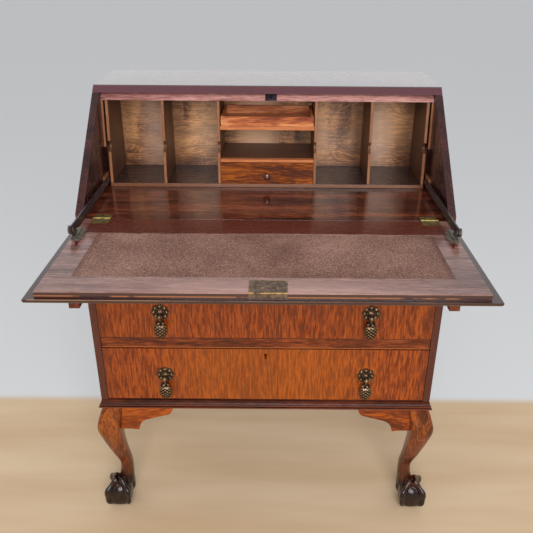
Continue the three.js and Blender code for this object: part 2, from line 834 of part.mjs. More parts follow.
// The drop: an eye round the pin, a short neck and a flattened pear that narrows to a blunt end
function drop() {
  const pinY = -handlePinReach;
  const pinZ = -handlePinDrop;
  const half = handleEyeThickness / 2;
  const hole = rodX(handlePinRadius + handleEyeGap, -half - cutOverrun, half + cutOverrun, pinY, pinZ, 12);
  const eye = rodX(handleEyeRadius, -half, half, pinY, pinZ, 14);
  const radius = dropWidth / 2;
  const neckOverlapShare = 0.8;
  const neckShare = (dropReach - handleEyeRadius * neckOverlapShare) / dropLength;
  const dropShares = [
    [0, 0], [0.36, 0.02], [0.74, 0.14], [0.97, 0.4], [1, 0.64], [0.9, 0.82], [0.62, 0.93], [0.3, 0.97],
    [0.2, 1.04], [0.19, neckShare], [0, neckShare],
  ];
  const points = dropShares.map(([across, up]) => new THREE.Vector2(across * radius, up * dropLength));
  const geometry = new THREE.LatheGeometry(points, 14);
  geometry.rotateX(Math.PI / 2);
  geometry.scale(1, dropDepthShare, 1);
  geometry.translate(0, pinY, pinZ - dropReach);
  return solidOf(geometry).add(eye).subtract(hole);
}

// Lopers, pulled out by their full travel
function addLopers() {
  const outer = loperInner + loperThickness;
  const bottom = loperRailTop + glueGap;
  const top = writingUnder - glueGap;
  const back = loperLength - loperTravel;
  addPair('loper', block(loperInner, outer, -loperTravel, back, bottom, top), warmMahogany);
}

// Fall, lying open
function addFall() {
  addNode('fall_panel', fallPanel(), fallMahogany);
  const half = insertWidth / 2;
  const near = hingeSetback - insertNear;
  const far = hingeSetback - fallReach + insertFrontMargin;
  const under = writingHeight - insertThickness;
  addNode('fall_insert', block(-half, half, far, near, under, writingHeight), leather);
  addNode('fall_lock', fallLock(0), brass);
  addPair('hinge_case_leaf', hingeLeaf(1), brass);
  addPair('hinge_fall_leaf', hingeLeaf(-1), brass);
}

function fallPanel() {
  const roundShares = [0, 0.25, 0.5, 0.75, 1];
  const profile = [];
  for (const share of roundShares) {
    const angle = share * Math.PI / 2;
    profile.push([lipRound * (Math.sin(angle) - 1), writingUnder + lipRound * (1 - Math.cos(angle))]);
  }
  profile.push([0, lipTop]);
  const lip = mouldedBoard(profile, halfWidth, hingeSetback - lipReach, hingeSetback - lipStart);
  const front = hingeSetback - fallReach;
  const back = hingeSetback - glueGap;
  let panel = lip.add(block(-fallHalf, fallHalf, front, back, writingUnder, writingHeight));
  const insertHalf = insertWidth / 2 + glueGap;
  const near = hingeSetback - insertNear + glueGap;
  const far = hingeSetback - fallReach + insertFrontMargin - glueGap;
  const insertFloor = writingHeight - insertThickness - glueGap;
  const above = writingHeight + cutOverrun;
  panel = panel.subtract(block(-insertHalf, insertHalf, far, near, insertFloor, above));
  for (const side of [-1, 1]) {
    const [inner, outer] = hingeSpan(side, glueGap);
    const leafFloor = writingHeight - hingeLeafThickness - glueGap;
    const leafEnd = hingeSetback - hingeLeafDepth - glueGap;
    panel = panel.subtract(block(inner, outer, leafEnd, hingeSetback, leafFloor, above));
    panel = panel.subtract(rodX(knuckleRadius + glueGap, inner, outer, hingeSetback, writingHeight));
  }
  return panel.subtract(fallLock(glueGap)).subtract(lockKeyhole());
}

// A flush plate on the inside of the fall, a selvedge over its edge and the lock's body let into the wood
function fallLock(grow) {
  const front = hingeSetback - fallReach;
  const half = lockWidth / 2 + grow;
  const bodyHalf = lockBodyWidth / 2 + grow;
  const above = grow > 0 ? cutOverrun : 0;
  const plateUnder = writingHeight - lockPlate - grow;
  const x = lockCentre;
  const plate = block(x - half, x + half, front - above, front + lockLength + grow,
    plateUnder, writingHeight + above);
  const edge = block(x - half, x + half, front - above, front + lockPlate + grow,
    writingHeight - lockSelvedge - grow, writingHeight - lockPlate / 2);
  const body = block(x - bodyHalf, x + bodyHalf, front + lockPlate / 2, front + lockBodyLength + grow,
    writingHeight - lockBodyDepth - grow, writingHeight - lockPlate / 2);
  return plate.add(edge).add(body);
}

function lockKeyhole() {
  const keyholeShare = 0.6;
  const y = hingeSetback - fallReach + lockBodyLength * keyholeShare;
  const round = new THREE.CylinderGeometry(keyholeRadius, keyholeRadius, fallThickness, 14);
  round.rotateX(Math.PI / 2);
  round.translate(lockCentre, y, writingHeight - lockBodyDepth - fallThickness / 2);
  const slotHalf = keyholeSlot / 2;
  const low = writingHeight - lockBodyDepth - fallThickness;
  const slotTop = writingHeight - lockBodyDepth;
  const slotEnd = y + keyholeHeight - keyholeRadius;
  const slot = block(lockCentre - slotHalf, lockCentre + slotHalf, y, slotEnd, low, slotTop);
  return solidOf(round).add(slot);
}

// Hinges: five knuckles on one pin, the odd ones on the leaf in the writing board
// and the even ones on the leaf in the fall
function hingeSpan(side, grow) {
  const outer = innerHalf - hingeInset + grow;
  const inner = innerHalf - hingeInset - hingeLength - grow;
  return side > 0 ? [inner, outer] : [-outer, -inner];
}

function hingeLeaf(direction) {
  const [inner, outer] = hingeSpan(1, 0);
  const onCase = direction > 0;
  const near = hingeSetback + direction * knuckleRadius;
  const far = hingeSetback + direction * hingeLeafDepth;
  const under = writingHeight - hingeLeafThickness;
  let leaf = block(inner, outer, Math.min(near, far), Math.max(near, far), under, writingHeight);
  const step = (outer - inner) / knuckleCount;
  for (let i = 0; i < knuckleCount; i += 1) {
    if ((i % 2 === 0) !== onCase) continue;
    const start = inner + i * step + (i > 0 ? glueGap / 2 : 0);
    const end = inner + (i + 1) * step - (i + 1 < knuckleCount ? glueGap / 2 : 0);
    const root = [Math.min(hingeSetback, near), Math.max(hingeSetback, near)];
    const neck = block(start, end, root[0] - hingePinGap, root[1] + hingePinGap, under, writingHeight);
    leaf = leaf.add(neck).add(rodX(knuckleRadius, start, end, hingeSetback, writingHeight));
  }
  if (onCase) return leaf.add(rodX(hingePinRadius, inner, outer, hingeSetback, writingHeight, 10));
  const bore = rodX(hingePinRadius + hingePinGap, inner, outer, hingeSetback, writingHeight, 12);
  return leaf.subtract(bore);
}

// Stays: a bracket on the fall, an arm that turns on its pin,
// and a guide on the case side for the arm's far end
function addStays() {
  addPair('stay_bracket', stayBracket(), blackSteel);
  addPair('stay_arm', stayArm(), blackSteel);
  addPair('stay_guide', stayGuide(), rawWood);
}

function stayArm() {
  const half = stayHeight / 2;
  const shape = new THREE.Shape();
  shape.absarc(stayPivotY, stayPivotZ, half, Math.PI / 2, Math.PI * 1.5, false);
  shape.absarc(stayRear, stayPivotZ, half, -Math.PI / 2, Math.PI / 2, false);
  const bar = prismX(shape, stayInner, stayOuter);
  const eye = rodX(stayEyeRadius, stayInner, stayOuter, stayPivotY, stayPivotZ);
  const past = [stayInner - cutOverrun, stayOuter + cutOverrun];
  const pinHole = rodX(stayPinRadius + stayPinGap, ...past, stayPivotY, stayPivotZ);
  const studHole = rodX(guideSlot / 2, ...past, stayRear, stayPivotZ, 12);
  return bar.add(eye).subtract(pinHole).subtract(studHole);
}

function stayBracket() {
  const middle = (stayInner + stayOuter) / 2;
  const bottom = writingHeight + glueGap;
  const top = bottom + bracketPlateThickness;
  const near = hingeSetback - bracketPlateNear;
  const far = hingeSetback - bracketPlateFar;
  const earInner = stayOuter + slideGap;
  const earOuter = middle + bracketPlateWidth / 2;
  const plate = block(middle - bracketPlateWidth / 2, earOuter, far, near, bottom, top);
  const strutAcross = stayEyeRadius * strutShare;
  const strutUp = stayEyeRadius * Math.sqrt(1 - strutShare ** 2);
  const shape = shapeOf([
    [near - stayEyeRadius, (bottom + top) / 2],
    [stayPivotY + strutAcross, stayPivotZ + strutUp],
    [stayPivotY - strutUp, stayPivotZ - strutAcross],
    [near - stayEyeRadius - bracketStrut, (bottom + top) / 2],
  ]);
  const strut = prismX(shape, earInner, earOuter);
  const eye = rodX(stayEyeRadius, earInner, earOuter, stayPivotY, stayPivotZ);
  const headOuter = stayInner - slideGap;
  const headInner = headOuter - stayPinHead;
  const pinEnd = headOuter - stayPinHead / 2;
  const pin = rodX(stayPinRadius, pinEnd, earOuter - glueGap, stayPivotY, stayPivotZ);
  const head = rodX(stayPinHeadRadius, headInner, headOuter, stayPivotY, stayPivotZ);
  return plate.add(strut.add(eye)).add(pin).add(head);
}

function stayGuide() {
  const top = topUnder - glueGap;
  const railFloor = stopRailBottom - glueGap;
  const tongueFoot = stayPivotZ - guideTongue / 2;
  const tongueTop = stayPivotZ + guideTongue / 2;
  const tongueFront = stayRear - guideTongue / 2;
  const setback = unitFrontAt(guideStep) + guideSetback;
  const shape = shapeOf([
    [tongueFront, tongueFoot],
    [fitBack, tongueFoot],
    [fitBack, top],
    [stopRailBack + glueGap, top],
    [stopRailBack + glueGap, railFloor],
    [unitFrontAt(railFloor), railFloor],
    [unitFrontAt(guideStep), guideStep],
    [setback, guideStep],
    [setback, tongueTop],
    [tongueFront, tongueTop],
  ]);
  const plate = prismX(shape, guideInner, fitHalf);
  const slotHalf = guideSlot / 2;
  const slotFront = stayRear - slotHalf;
  const slotBack = fitBack - guideTongue / 2;
  const past = [guideInner - cutOverrun, fitHalf + cutOverrun];
  return plate.subtract(block(...past, slotFront, slotBack, stayPivotZ - slotHalf, stayPivotZ + slotHalf));
}
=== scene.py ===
import math

import bpy
from mathutils import Matrix, Vector


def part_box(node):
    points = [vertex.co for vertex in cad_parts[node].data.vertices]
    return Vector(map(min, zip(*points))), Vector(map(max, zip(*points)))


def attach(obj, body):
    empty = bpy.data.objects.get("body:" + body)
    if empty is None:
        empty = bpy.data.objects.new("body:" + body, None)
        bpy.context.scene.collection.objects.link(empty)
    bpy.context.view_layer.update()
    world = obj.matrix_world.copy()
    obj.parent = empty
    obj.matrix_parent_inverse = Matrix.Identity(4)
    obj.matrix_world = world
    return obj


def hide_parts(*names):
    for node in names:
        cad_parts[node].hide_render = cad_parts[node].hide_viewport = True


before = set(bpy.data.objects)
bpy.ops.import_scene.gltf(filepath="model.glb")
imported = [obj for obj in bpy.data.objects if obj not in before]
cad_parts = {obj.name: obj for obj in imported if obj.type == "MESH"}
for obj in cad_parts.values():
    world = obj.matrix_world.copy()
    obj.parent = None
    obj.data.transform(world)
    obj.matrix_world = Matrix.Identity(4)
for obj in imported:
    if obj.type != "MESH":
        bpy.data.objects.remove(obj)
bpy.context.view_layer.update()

# Points of pieces are given in millimetres in the case's own frame, where y = 0 is the front of the case.
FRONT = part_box("case_side_left")[0].y
MM = 1000
SIDES = {"right": 1, "left": -1}
LEVELS = ("lower", "upper", "top")
CASE_DEPTH = 414
WRITING_HEIGHT = 783
HINGE_SETBACK = 4
HANDLE_INSET = 227
PIN_REACH = 11
PIN_DROP = 6


def place(x, y, z):
    """A point of the case's own frame, in metres in the shared frame."""
    return Vector((x / MM, y / MM + FRONT, z / MM))


def case_box(node):
    """A node's lowest and highest corners in the case's own frame, in millimetres."""
    return [Vector((corner.x * MM, (corner.y - FRONT) * MM, corner.z * MM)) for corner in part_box(node)]


def tone(red, green, blue):
    """A colour as the eye sees it, 0 to 255, as the shader's linear colour."""
    shares = [c / 255 for c in (red, green, blue)]
    return tuple(c / 12.92 if c <= 0.04045 else ((c + 0.055) / 1.055) ** 2.4 for c in shares) + (1.0,)


def deeper(colour, share):
    return tuple(c * share for c in colour[:3]) + (1.0,)


class Value:
    """A number or a vector on its way through the nodes of a finish."""

    def __init__(self, nodes, made, output=0):
        self.nodes = nodes
        self.made = made
        self.socket = made.outputs[output]

    def out(self, output):
        return Value(self.nodes, self.made, output)

    def maths(self, operation, *numbers):
        return self.nodes.node("ShaderNodeMath", {"operation": operation}, numbers)

    def __add__(self, other):
        return self.maths("ADD", self, other)

    def __sub__(self, other):
        return self.maths("SUBTRACT", self, other)

    def __mul__(self, other):
        return self.maths("MULTIPLY", self, other)

    def __rsub__(self, other):
        return self.maths("SUBTRACT", other, self)

    def __abs__(self):
        return self.maths("ABSOLUTE", self)

    def sine(self):
        return self.maths("SINE", self)

    __radd__ = __add__
    __rmul__ = __mul__


class Nodes:
    """A node tree, and the one way in which nodes are added to it."""

    def __init__(self, tree):
        self.tree = tree

    def node(self, kind, settings, inputs, output=0):
        made = self.tree.nodes.new(kind)
        for name, value in settings.items():
            if name == "stops":
                ramp = made.color_ramp
                while len(ramp.elements) < len(value):
                    ramp.elements.new(1)
                for element, (position, colour) in zip(ramp.elements, value):
                    element.position = position
                    element.color = colour
            else:
                setattr(made, name, value)
        for key, value in (inputs.items() if isinstance(inputs, dict) else enumerate(inputs)):
            self.feed(made.inputs[key], value)
        return Value(self, made, output)

    def feed(self, socket, value):
        if isinstance(value, Value):
            self.tree.links.new(value.socket, socket)
        else:
            socket.default_value = value


class Finish(Nodes):
    """One finish: its shader, and the nodes that vary it over the surface."""

    def __init__(self, name, **constants):
        self.material = bpy.data.materials.new(name)
        self.material.use_nodes = True
        super().__init__(self.material.node_tree)
        self.shader = self.tree.nodes["Principled BSDF"]
        for socket, value in constants.items():
            self.shader.inputs[socket.replace("_", " ")].default_value = value
        self.point = self.node("ShaderNodeTexCoord", {}, {}).out("Object")
        split = self.node("ShaderNodeSeparateXYZ", {}, [self.point])
        self.x, self.z = split, split.out(2)
        self.y = split.out(1) - FRONT

    def stretched(self, x, y, z, shift=0.0):
        moved = self.node("ShaderNodeVectorMath", {"operation": "ADD"}, [self.point, (shift, shift, shift)])
        return self.node("ShaderNodeVectorMath", {"operation": "MULTIPLY"}, [moved, (x, y, z)])

    def noise(self, vector, detail=4.0, distortion=0.0):
        return self.node("ShaderNodeTexNoise", {}, {
            "Vector": vector, "Scale": 1.0, "Detail": detail, "Distortion": distortion})

    def above(self, value, edge, soft):
        return self.node("ShaderNodeMapRange", {"interpolation_type": "SMOOTHSTEP"},
                         [value, edge - soft, edge + soft])

    def below(self, value, edge, soft):
        return 1 - self.above(value, edge, soft)

    def within(self, value, low, high, soft):
        return self.above(value, low, soft) * self.below(value, high, soft)

    def ramp(self, value, stops):
        return self.node("ShaderNodeValToRGB", {"stops": stops}, [value])

    def mix(self, share, first, second):
        return self.node("ShaderNodeMix", {"data_type": "RGBA"}, {0: share, 6: first, 7: second}, 2)

    def tinted(self, share, colour, tint):
        """The colour seen through a tint, with its grain kept."""
        return self.node("ShaderNodeMix", {"data_type": "RGBA", "blend_type": "MULTIPLY"},
                         {0: share, 6: colour, 7: tint}, 2)

    def shade(self, colour, roughness, height=None, depth=0.0002):
        self.feed(self.shader.inputs["Base Color"], colour)
        self.feed(self.shader.inputs["Roughness"], roughness)
        if height is not None:
            bump = self.node("ShaderNodeBump", {}, {"Strength": 0.6, "Distance": depth, "Height": height})
            self.feed(self.shader.inputs["Normal"], bump)
        return self.material


def wood(name, along, dark, mid, light, rough=0.35, coat=0.0, figure=30.0, swirl=0.6, contour=0.0,
         long_share=0.11, shift=0.0, paint=None, fine_share=0.4, shine=0.4):
    """Wood with its grain along x, y or z: figure, contour lines, fibres and open pores.

    The paint alters it by place.
    """
    fibre_scales, pore_scales, cloud_scale = (36, 320), (60, 900), 5
    cloud_share = 0.1
    f = Finish(name, Coat_Weight=coat, Coat_Roughness=0.1, Specular_IOR_Level=shine)

    def scales(lengthwise, crosswise):
        return [lengthwise if axis == along else crosswise for axis in "xyz"]

    growth = f.noise(f.stretched(*scales(figure * long_share, figure), shift), 5.0, swirl)
    fibres = f.noise(f.stretched(*scales(*fibre_scales), shift), 3.0)
    pores = f.above(f.noise(f.stretched(*scales(*pore_scales), shift), 2.0), 0.61, 0.05)
    cloud = f.noise(f.stretched(cloud_scale, cloud_scale, cloud_scale, shift), 2.0)
    grain = growth * (1 - cloud_share - fine_share) + fibres * fine_share + cloud * cloud_share
    if contour:
        grain = grain + (growth * contour).sine() * 0.045
    colour = f.ramp(grain, [(0.4, dark), (0.5, mid), (0.6, light)])
    colour = f.mix(pores * 0.5, colour, deeper(dark, 0.45))
    if paint:
        colour = paint(f, colour, cloud)
    roughness = rough + (fibres - 0.5) * 0.2 + pores * 0.12
    return f.shade(colour, roughness, fibres * 0.5 - pores * 0.8, 0.00016)


def relief_of(f):
    """How high a point of a stamped or cast piece stands: 0 in its hollows, 1 on its worn tops."""
    return f.node("ShaderNodeAttribute", {"attribute_name": "relief"}, {}).out("Fac")


def cast_metal(name, hollow, flat, bright_top, rough=0.4):
    """Aged castings: near black in the hollows, brown on the flats and bright on the worn tops."""
    f = Finish(name, Metallic=0.75)
    relief = relief_of(f)
    patches = f.noise(f.stretched(240, 240, 240), 4.0)
    pits = f.noise(f.stretched(900, 900, 900), 3.0)
    worn = relief + (patches - 0.5) * 0.7
    colour = f.ramp(worn, [(0.06, hollow), (0.42, flat), (0.98, bright_top)])
    return f.shade(colour, rough + (pits - 0.5) * 0.4 - f.above(worn, 0.7, 0.2) * 0.12, pits, 0.00015)


def flat_metal(name, dull, worn, bright=None, edge=None, rough=0.4, metallic=0.7):
    """Flat metal, dull and finely pitted, with bright places where edge says."""
    f = Finish(name, Metallic=metallic)
    patches = f.noise(f.stretched(130, 130, 130), 5.0, 0.3)
    pits = f.noise(f.stretched(1100, 1100, 1100), 3.0)
    colour = f.mix(f.above(patches * 0.7 + pits * 0.3, 0.52, 0.16), dull, worn)
    if edge:
        colour = f.mix(edge(f) * f.above(patches, 0.4, 0.12), colour, bright)
    return f.shade(colour, rough + (pits - 0.5) * 0.4, pits, 0.00012)


def plate_edges(node, rim, fold):
    """The bright rim of a flat plate on three sides, and a bright line at its front where it folds down."""
    low, high = case_box(node)
    left, right, back = (low.x + rim) / MM, (high.x - rim) / MM, (high.y - rim) / MM
    under_face = 0.4

    def edge(f):
        top = f.above(f.z, (high.z - under_face) / MM, 0.0002)
        inside = f.within(f.x, left, right, 0.0002) * f.below(f.y, back, 0.0002)
        return ((1 - inside) * 0.3 + f.below(f.y, (low.y + fold) / MM, 0.0003)) * top
    return edge


def knuckle_edge(f):
    """The bright tops of the knuckles, on both sides of the hinge's pin."""
    bright_half, over_leaf = 1.6, 0.4
    near, far = (HINGE_SETBACK - bright_half) / MM, (HINGE_SETBACK + bright_half) / MM
    return f.within(f.y, near, far, 0.0003) * f.above(f.z, (WRITING_HEIGHT + over_leaf) / MM, 0.0002)


# The paints below alter a wood by place. Their places are in metres of the case's own frame.


def drawer_paint(f, colour, cloud):
    """Only the front is veneered, in two sheets that meet in a seam; behind it is pale lining wood.

    The lowest drawer is golden in its middle, and every front is darker at its ends.
    """
    lowest_top, golden_end, dark_end = 0.48, 0.2, 0.345
    seam, seam_half, front_thickness = 0.0278, 0.0006, 0.0195
    golden = f.below(f.z, lowest_top, 0.001) * f.below(abs(f.x), golden_end, 0.1)
    colour = f.mix(golden * 0.24, colour, tone(186, 104, 20))
    colour = f.mix(f.below(f.x, seam, 0.0003) * 0.1, colour, tone(104, 44, 20))
    joint = f.within(f.x, seam - seam_half, seam + seam_half, 0.0003)
    colour = f.mix(joint * 0.7, colour, tone(64, 28, 16))
    colour = f.mix(f.above(abs(f.x), dark_end, 0.016) * 0.4, colour, tone(86, 34, 18))
    fibres = f.noise(f.stretched(60, 4, 60), 4.0)
    lining = f.ramp(fibres, [(0.4, tone(146, 108, 72)), (0.6, tone(190, 150, 108))])
    return f.mix(f.above(f.y, front_thickness, 0.0004), colour, lining)


def side_paint(f, colour, cloud):
    """The front edge is redder than the dark outside."""
    edge_depth = 0.002
    return f.mix(f.below(f.y, edge_depth, 0.001) * 0.6, colour, tone(92, 42, 28))


def board_paint(f, colour, cloud):
    """The front edge of the top board is redder, with a painted highlight as a paler line along its top
    corner.
    """
    low, high = case_box("top_board")
    edge_depth, corner, bright_top = 14, 0.3, 1.6
    front = f.below(f.y, (low.y + edge_depth) / MM, 0.001) * f.below(f.z, (high.z - corner) / MM, 0.0002)
    colour = f.mix(front * 0.8, colour, tone(94, 43, 54))
    # Painted highlight: a paler line along the top corner of the front edge.
    line = front * f.above(f.z, (high.z - bright_top) / MM, 0.0005)
    return f.mix(line * 0.5, colour, tone(190, 150, 146))


def moulding_paint(f, colour, cloud):
    """Painted highlights along the two bead mouldings, under a dark band."""
    lower_bead, upper_bead = (0.3097, 0.3116), (0.3147, 0.3166)
    # Painted highlights along the two bead mouldings.
    bead_highlights = f.within(f.z, *lower_bead, 0.0006) + f.within(f.z, *upper_bead, 0.0006)
    return f.mix(bead_highlights * 0.66, colour, tone(150, 86, 60))


def rail_paint(f, colour, cloud):
    """A thin painted highlight along the lower edge of the front, and a dark line along its top."""
    front_depth, rail_bead_highlight, dark_line = 0.0045, (0.4735, 0.4754), (0.4984, 0.5012)
    front = f.below(f.y, front_depth, 0.0004)
    # Painted highlight along the bead at the lower edge of the front.
    colour = f.mix(f.within(f.z, *rail_bead_highlight, 0.0004) * front * 0.8, colour, tone(186, 118, 70))
    return f.mix(f.within(f.z, *dark_line, 0.0006) * front * 0.6, colour, tone(56, 26, 18))


def writing_face(f, colour, across):
    """A red strip at the hinge, a paler front that is partly bleached and partly a painted sheen, duller
    ends, and a red tip before each stay plate.
    """
    strip_front, strip_end = -0.062, 0.346
    strip = f.above(f.y, strip_front, 0.0015) * f.below(across, strip_end, 0.002)
    colour = f.mix(strip, colour, tone(92, 40, 28))
    pale_back, pale_end = -0.235, 0.2
    # The paler front: partly bleached wood, partly a painted sheen.
    pale = f.below(f.y, pale_back, 0.03) * f.below(across, pale_end, 0.14)
    colour = f.mix(pale * 0.4, colour, tone(206, 162, 148))
    dull_back, dull_start = -0.16, 0.25
    ends = f.below(f.y, dull_back, 0.07) * f.above(across, dull_start, 0.12)
    colour = f.tinted(ends * 0.42, colour, tone(174, 164, 164))
    tip_point, tip_front, tip_back, tip_across = 0.126, -0.125, -0.09, 0.3425
    half_width = (f.y + tip_point) * 0.2
    tip_middle = half_width + tip_across
    tip = f.within(f.y, tip_front, tip_back, 0.0006)
    tip = tip * f.above(half_width - abs(across - tip_middle), 0.0, 0.0005)
    return f.mix(tip, colour, tone(84, 22, 14))


def rebate_and_lip(f, colour, across, cloud):
    """A dark rebate with a worn gold line in it, and below it a darker lip with a painted highlight along its
    front.
    """
    rebate_top, gold_line, lip_top = 0.7818, (0.7745, 0.7768), 0.7725
    highlight_front, highlight_bottom, highlight_end = (-0.2962, -0.2926), 0.7712, 0.372
    rebate = f.below(f.z, rebate_top, 0.0004)
    colour = f.mix(rebate, colour, tone(62, 38, 38))
    wear = f.above(f.noise(f.stretched(16, 1, 1), 3.0), 0.42, 0.06)
    worn_line = f.within(f.z, *gold_line, 0.0003) * wear
    colour = f.mix(rebate * worn_line * 0.75, colour, tone(176, 110, 66))
    lip = f.below(f.z, lip_top, 0.0005)
    colour = f.mix(lip, colour, tone(56, 28, 22))
    # Painted highlight: a pale strip along the front of the lip's top.
    bright_top = f.within(f.y, *highlight_front, 0.0005) * f.above(f.z, highlight_bottom, 0.0003)
    bright_top = bright_top * f.below(across, highlight_end, 0.001)
    return f.mix(lip * bright_top * f.above(cloud, 0.46, 0.08) * 0.42, colour, tone(204, 166, 136))


def fall_paint(f, colour, cloud):
    """The writing face, the rebate and the lip round it, and the veneer on the outside."""
    across = abs(f.x)
    colour = writing_face(f, colour, across)
    colour = rebate_and_lip(f, colour, across, cloud)
    outside_top, outside_end, outside_front = 0.7648, 0.383, -0.281
    outside = f.below(f.z, outside_top, 0.0004) * f.within(f.x, -outside_end, outside_end, 0.0004)
    outside = outside * f.above(f.y, outside_front, 0.0004)
    figure = f.noise(f.stretched(46, 7.4, 46, 0.31), 5.0, 1.4)
    grain = figure * 0.3 + f.noise(f.stretched(320, 40, 320), 3.0) * 0.7
    veneer = f.ramp(grain, [(0.4, tone(112, 46, 10)), (0.5, tone(142, 62, 16)), (0.6, tone(168, 82, 26))])
    return f.mix(outside, colour, veneer)


def leg_paint(f, colour, cloud):
    """Near black below the ankle, warm on the knee, darker in patches on the way down, and with painted shade
    over the lower leg.
    """
    ankle, shaded_top, patches_top = 0.078, 0.17, 0.22
    foot = f.below(f.z + (cloud - 0.5) * 0.05, ankle, 0.018)
    dark_patches = f.above(cloud, 0.5, 0.1) * f.below(f.z, patches_top, 0.06) * 0.6
    colour = f.mix(dark_patches, colour, tone(58, 24, 14))
    # Painted shade: the lower leg darkened.
    colour = f.mix(f.below(f.z, shaded_top, 0.07) * 0.35, colour, tone(70, 30, 18))
    patches = f.above(f.noise(f.stretched(60, 60, 60), 2.0), 0.56, 0.06)
    return f.mix(foot * 0.97, colour, f.mix(patches, tone(18, 9, 10), tone(42, 18, 16)))


def raw_edge(edge_tone, inside_tone, reach):
    """A raw front edge, with a darker surface behind it."""
    def paint(f, colour, cloud):
        behind = f.above(f.y, reach, 0.0006)
        inside = f.mix(f.above(cloud, 0.5, 0.15), inside_tone, deeper(inside_tone, 0.65))
        return f.mix(behind * 0.85, f.mix(0.5, colour, edge_tone), inside)
    return paint


def divider_paint(f, colour, cloud):
    """The raw front edge leans back with the unit; behind it the sides are dark, with painted gold highlights
    in patches.
    """
    unit_front, lean, edge_depth, highlight_heights = 0.190, 0.1224, 0.0012, (0.82, 0.96)
    front_edge = (f.z - WRITING_HEIGHT / MM) * lean + unit_front
    behind = f.above(f.y - front_edge, edge_depth, 0.0006)
    # Painted highlights: gold patches on the sides across the middle heights.
    painted_sheen = f.above(cloud, 0.5, 0.12) * f.within(f.z, *highlight_heights, 0.03)
    inside = f.mix(painted_sheen * 0.3, tone(60, 36, 28), tone(150, 98, 56))
    return f.mix(behind * 0.9, f.mix(0.6, colour, tone(140, 90, 62)), f.mix(0.16, inside, colour))


def gilt_paint(f, colour, cloud):
    """Painted reflections in upright streaks, painted sheen in the middle and towards the middle of each bay,
    painted shade at each bay's outer end, and brown painted shade near the floor.
    """
    sheen_heights, floor_shade_top, middle_sheen, bay_shadow = (0.835, 0.955), 0.81, (-0.06, 0.02), 0.03
    # Painted reflection: pale and darker upright streaks across the middle heights.
    sheen_streaks = f.noise(f.stretched(17, 17, 3.2, 0.37), 2.0)
    painted_sheen = f.within(f.z, *sheen_heights, 0.04) * f.above(sheen_streaks, 0.5, 0.09)
    colour = f.mix(painted_sheen * 0.35, colour, tone(250, 192, 134))
    colour = f.tinted(f.below(sheen_streaks, 0.46, 0.07) * 0.6, colour, tone(150, 130, 130))
    across = abs(f.x)
    centre = f.below(across, case_box("divider_inner_right")[0].x / MM, 0.0005)
    # Painted sheen in the middle of the centre bay.
    colour = f.mix(centre * f.within(f.x, *middle_sheen, 0.03) * 0.85, colour, tone(238, 188, 150))
    for near, far, sheen_share in (("inner", "middle", 0.2), ("middle", "outer", 0.52)):
        start, end = (case_box(f"divider_{name}_right")[0].x / MM for name in (near, far))
        bay = f.within(across, start, end, 0.0005)
        # Painted sheen towards the middle of each side bay, painted shade at its outer end.
        pale = bay * f.below(across, start * 0.45 + end * 0.55, 0.03)
        colour = f.mix(pale * sheen_share, colour, tone(222, 184, 162))
        shaded = bay * f.above(across, end - bay_shadow, 0.02)
        colour = f.tinted(shaded * 0.6, colour, tone(130, 108, 106))
    # Painted shade near the floor.
    return f.mix(f.below(f.z, floor_shade_top, 0.02) * 0.4, colour, tone(84, 48, 30))


def leather_finish():
    """Grained leather with a darker tooled rim along its edges."""
    rim_start = 0.309
    f = Finish("leather", Specular_IOR_Level=0.3)
    pebble = f.node("ShaderNodeTexVoronoi", {"feature": "DISTANCE_TO_EDGE"},
                    {"Vector": f.stretched(480, 620, 480)})
    ribs = f.noise(f.stretched(560, 860, 560), 2.0)
    cloud = f.noise(f.stretched(7, 7, 7), 3.0)
    grain = cloud * 0.3 + ribs * 0.7
    colour = f.ramp(grain, [(0.38, tone(76, 44, 34)), (0.5, tone(137, 97, 83)), (0.62, tone(200, 158, 140))])
    colour = f.mix(f.above(abs(f.x), rim_start, 0.002) * 0.35, colour, tone(84, 50, 40))
    colour = f.mix(f.below(pebble, 0.07, 0.05) * 0.5, colour, tone(66, 40, 32))
    return f.shade(colour, 0.56 + (ribs - 0.5) * 0.3, pebble + ribs * 0.4, 0.0006)


# Where the raw front edges of the shelves and the unit's floor end, in metres of the case's frame
SHELF_EDGE_END = 0.2065
FLOOR_EDGE_END = 0.1915

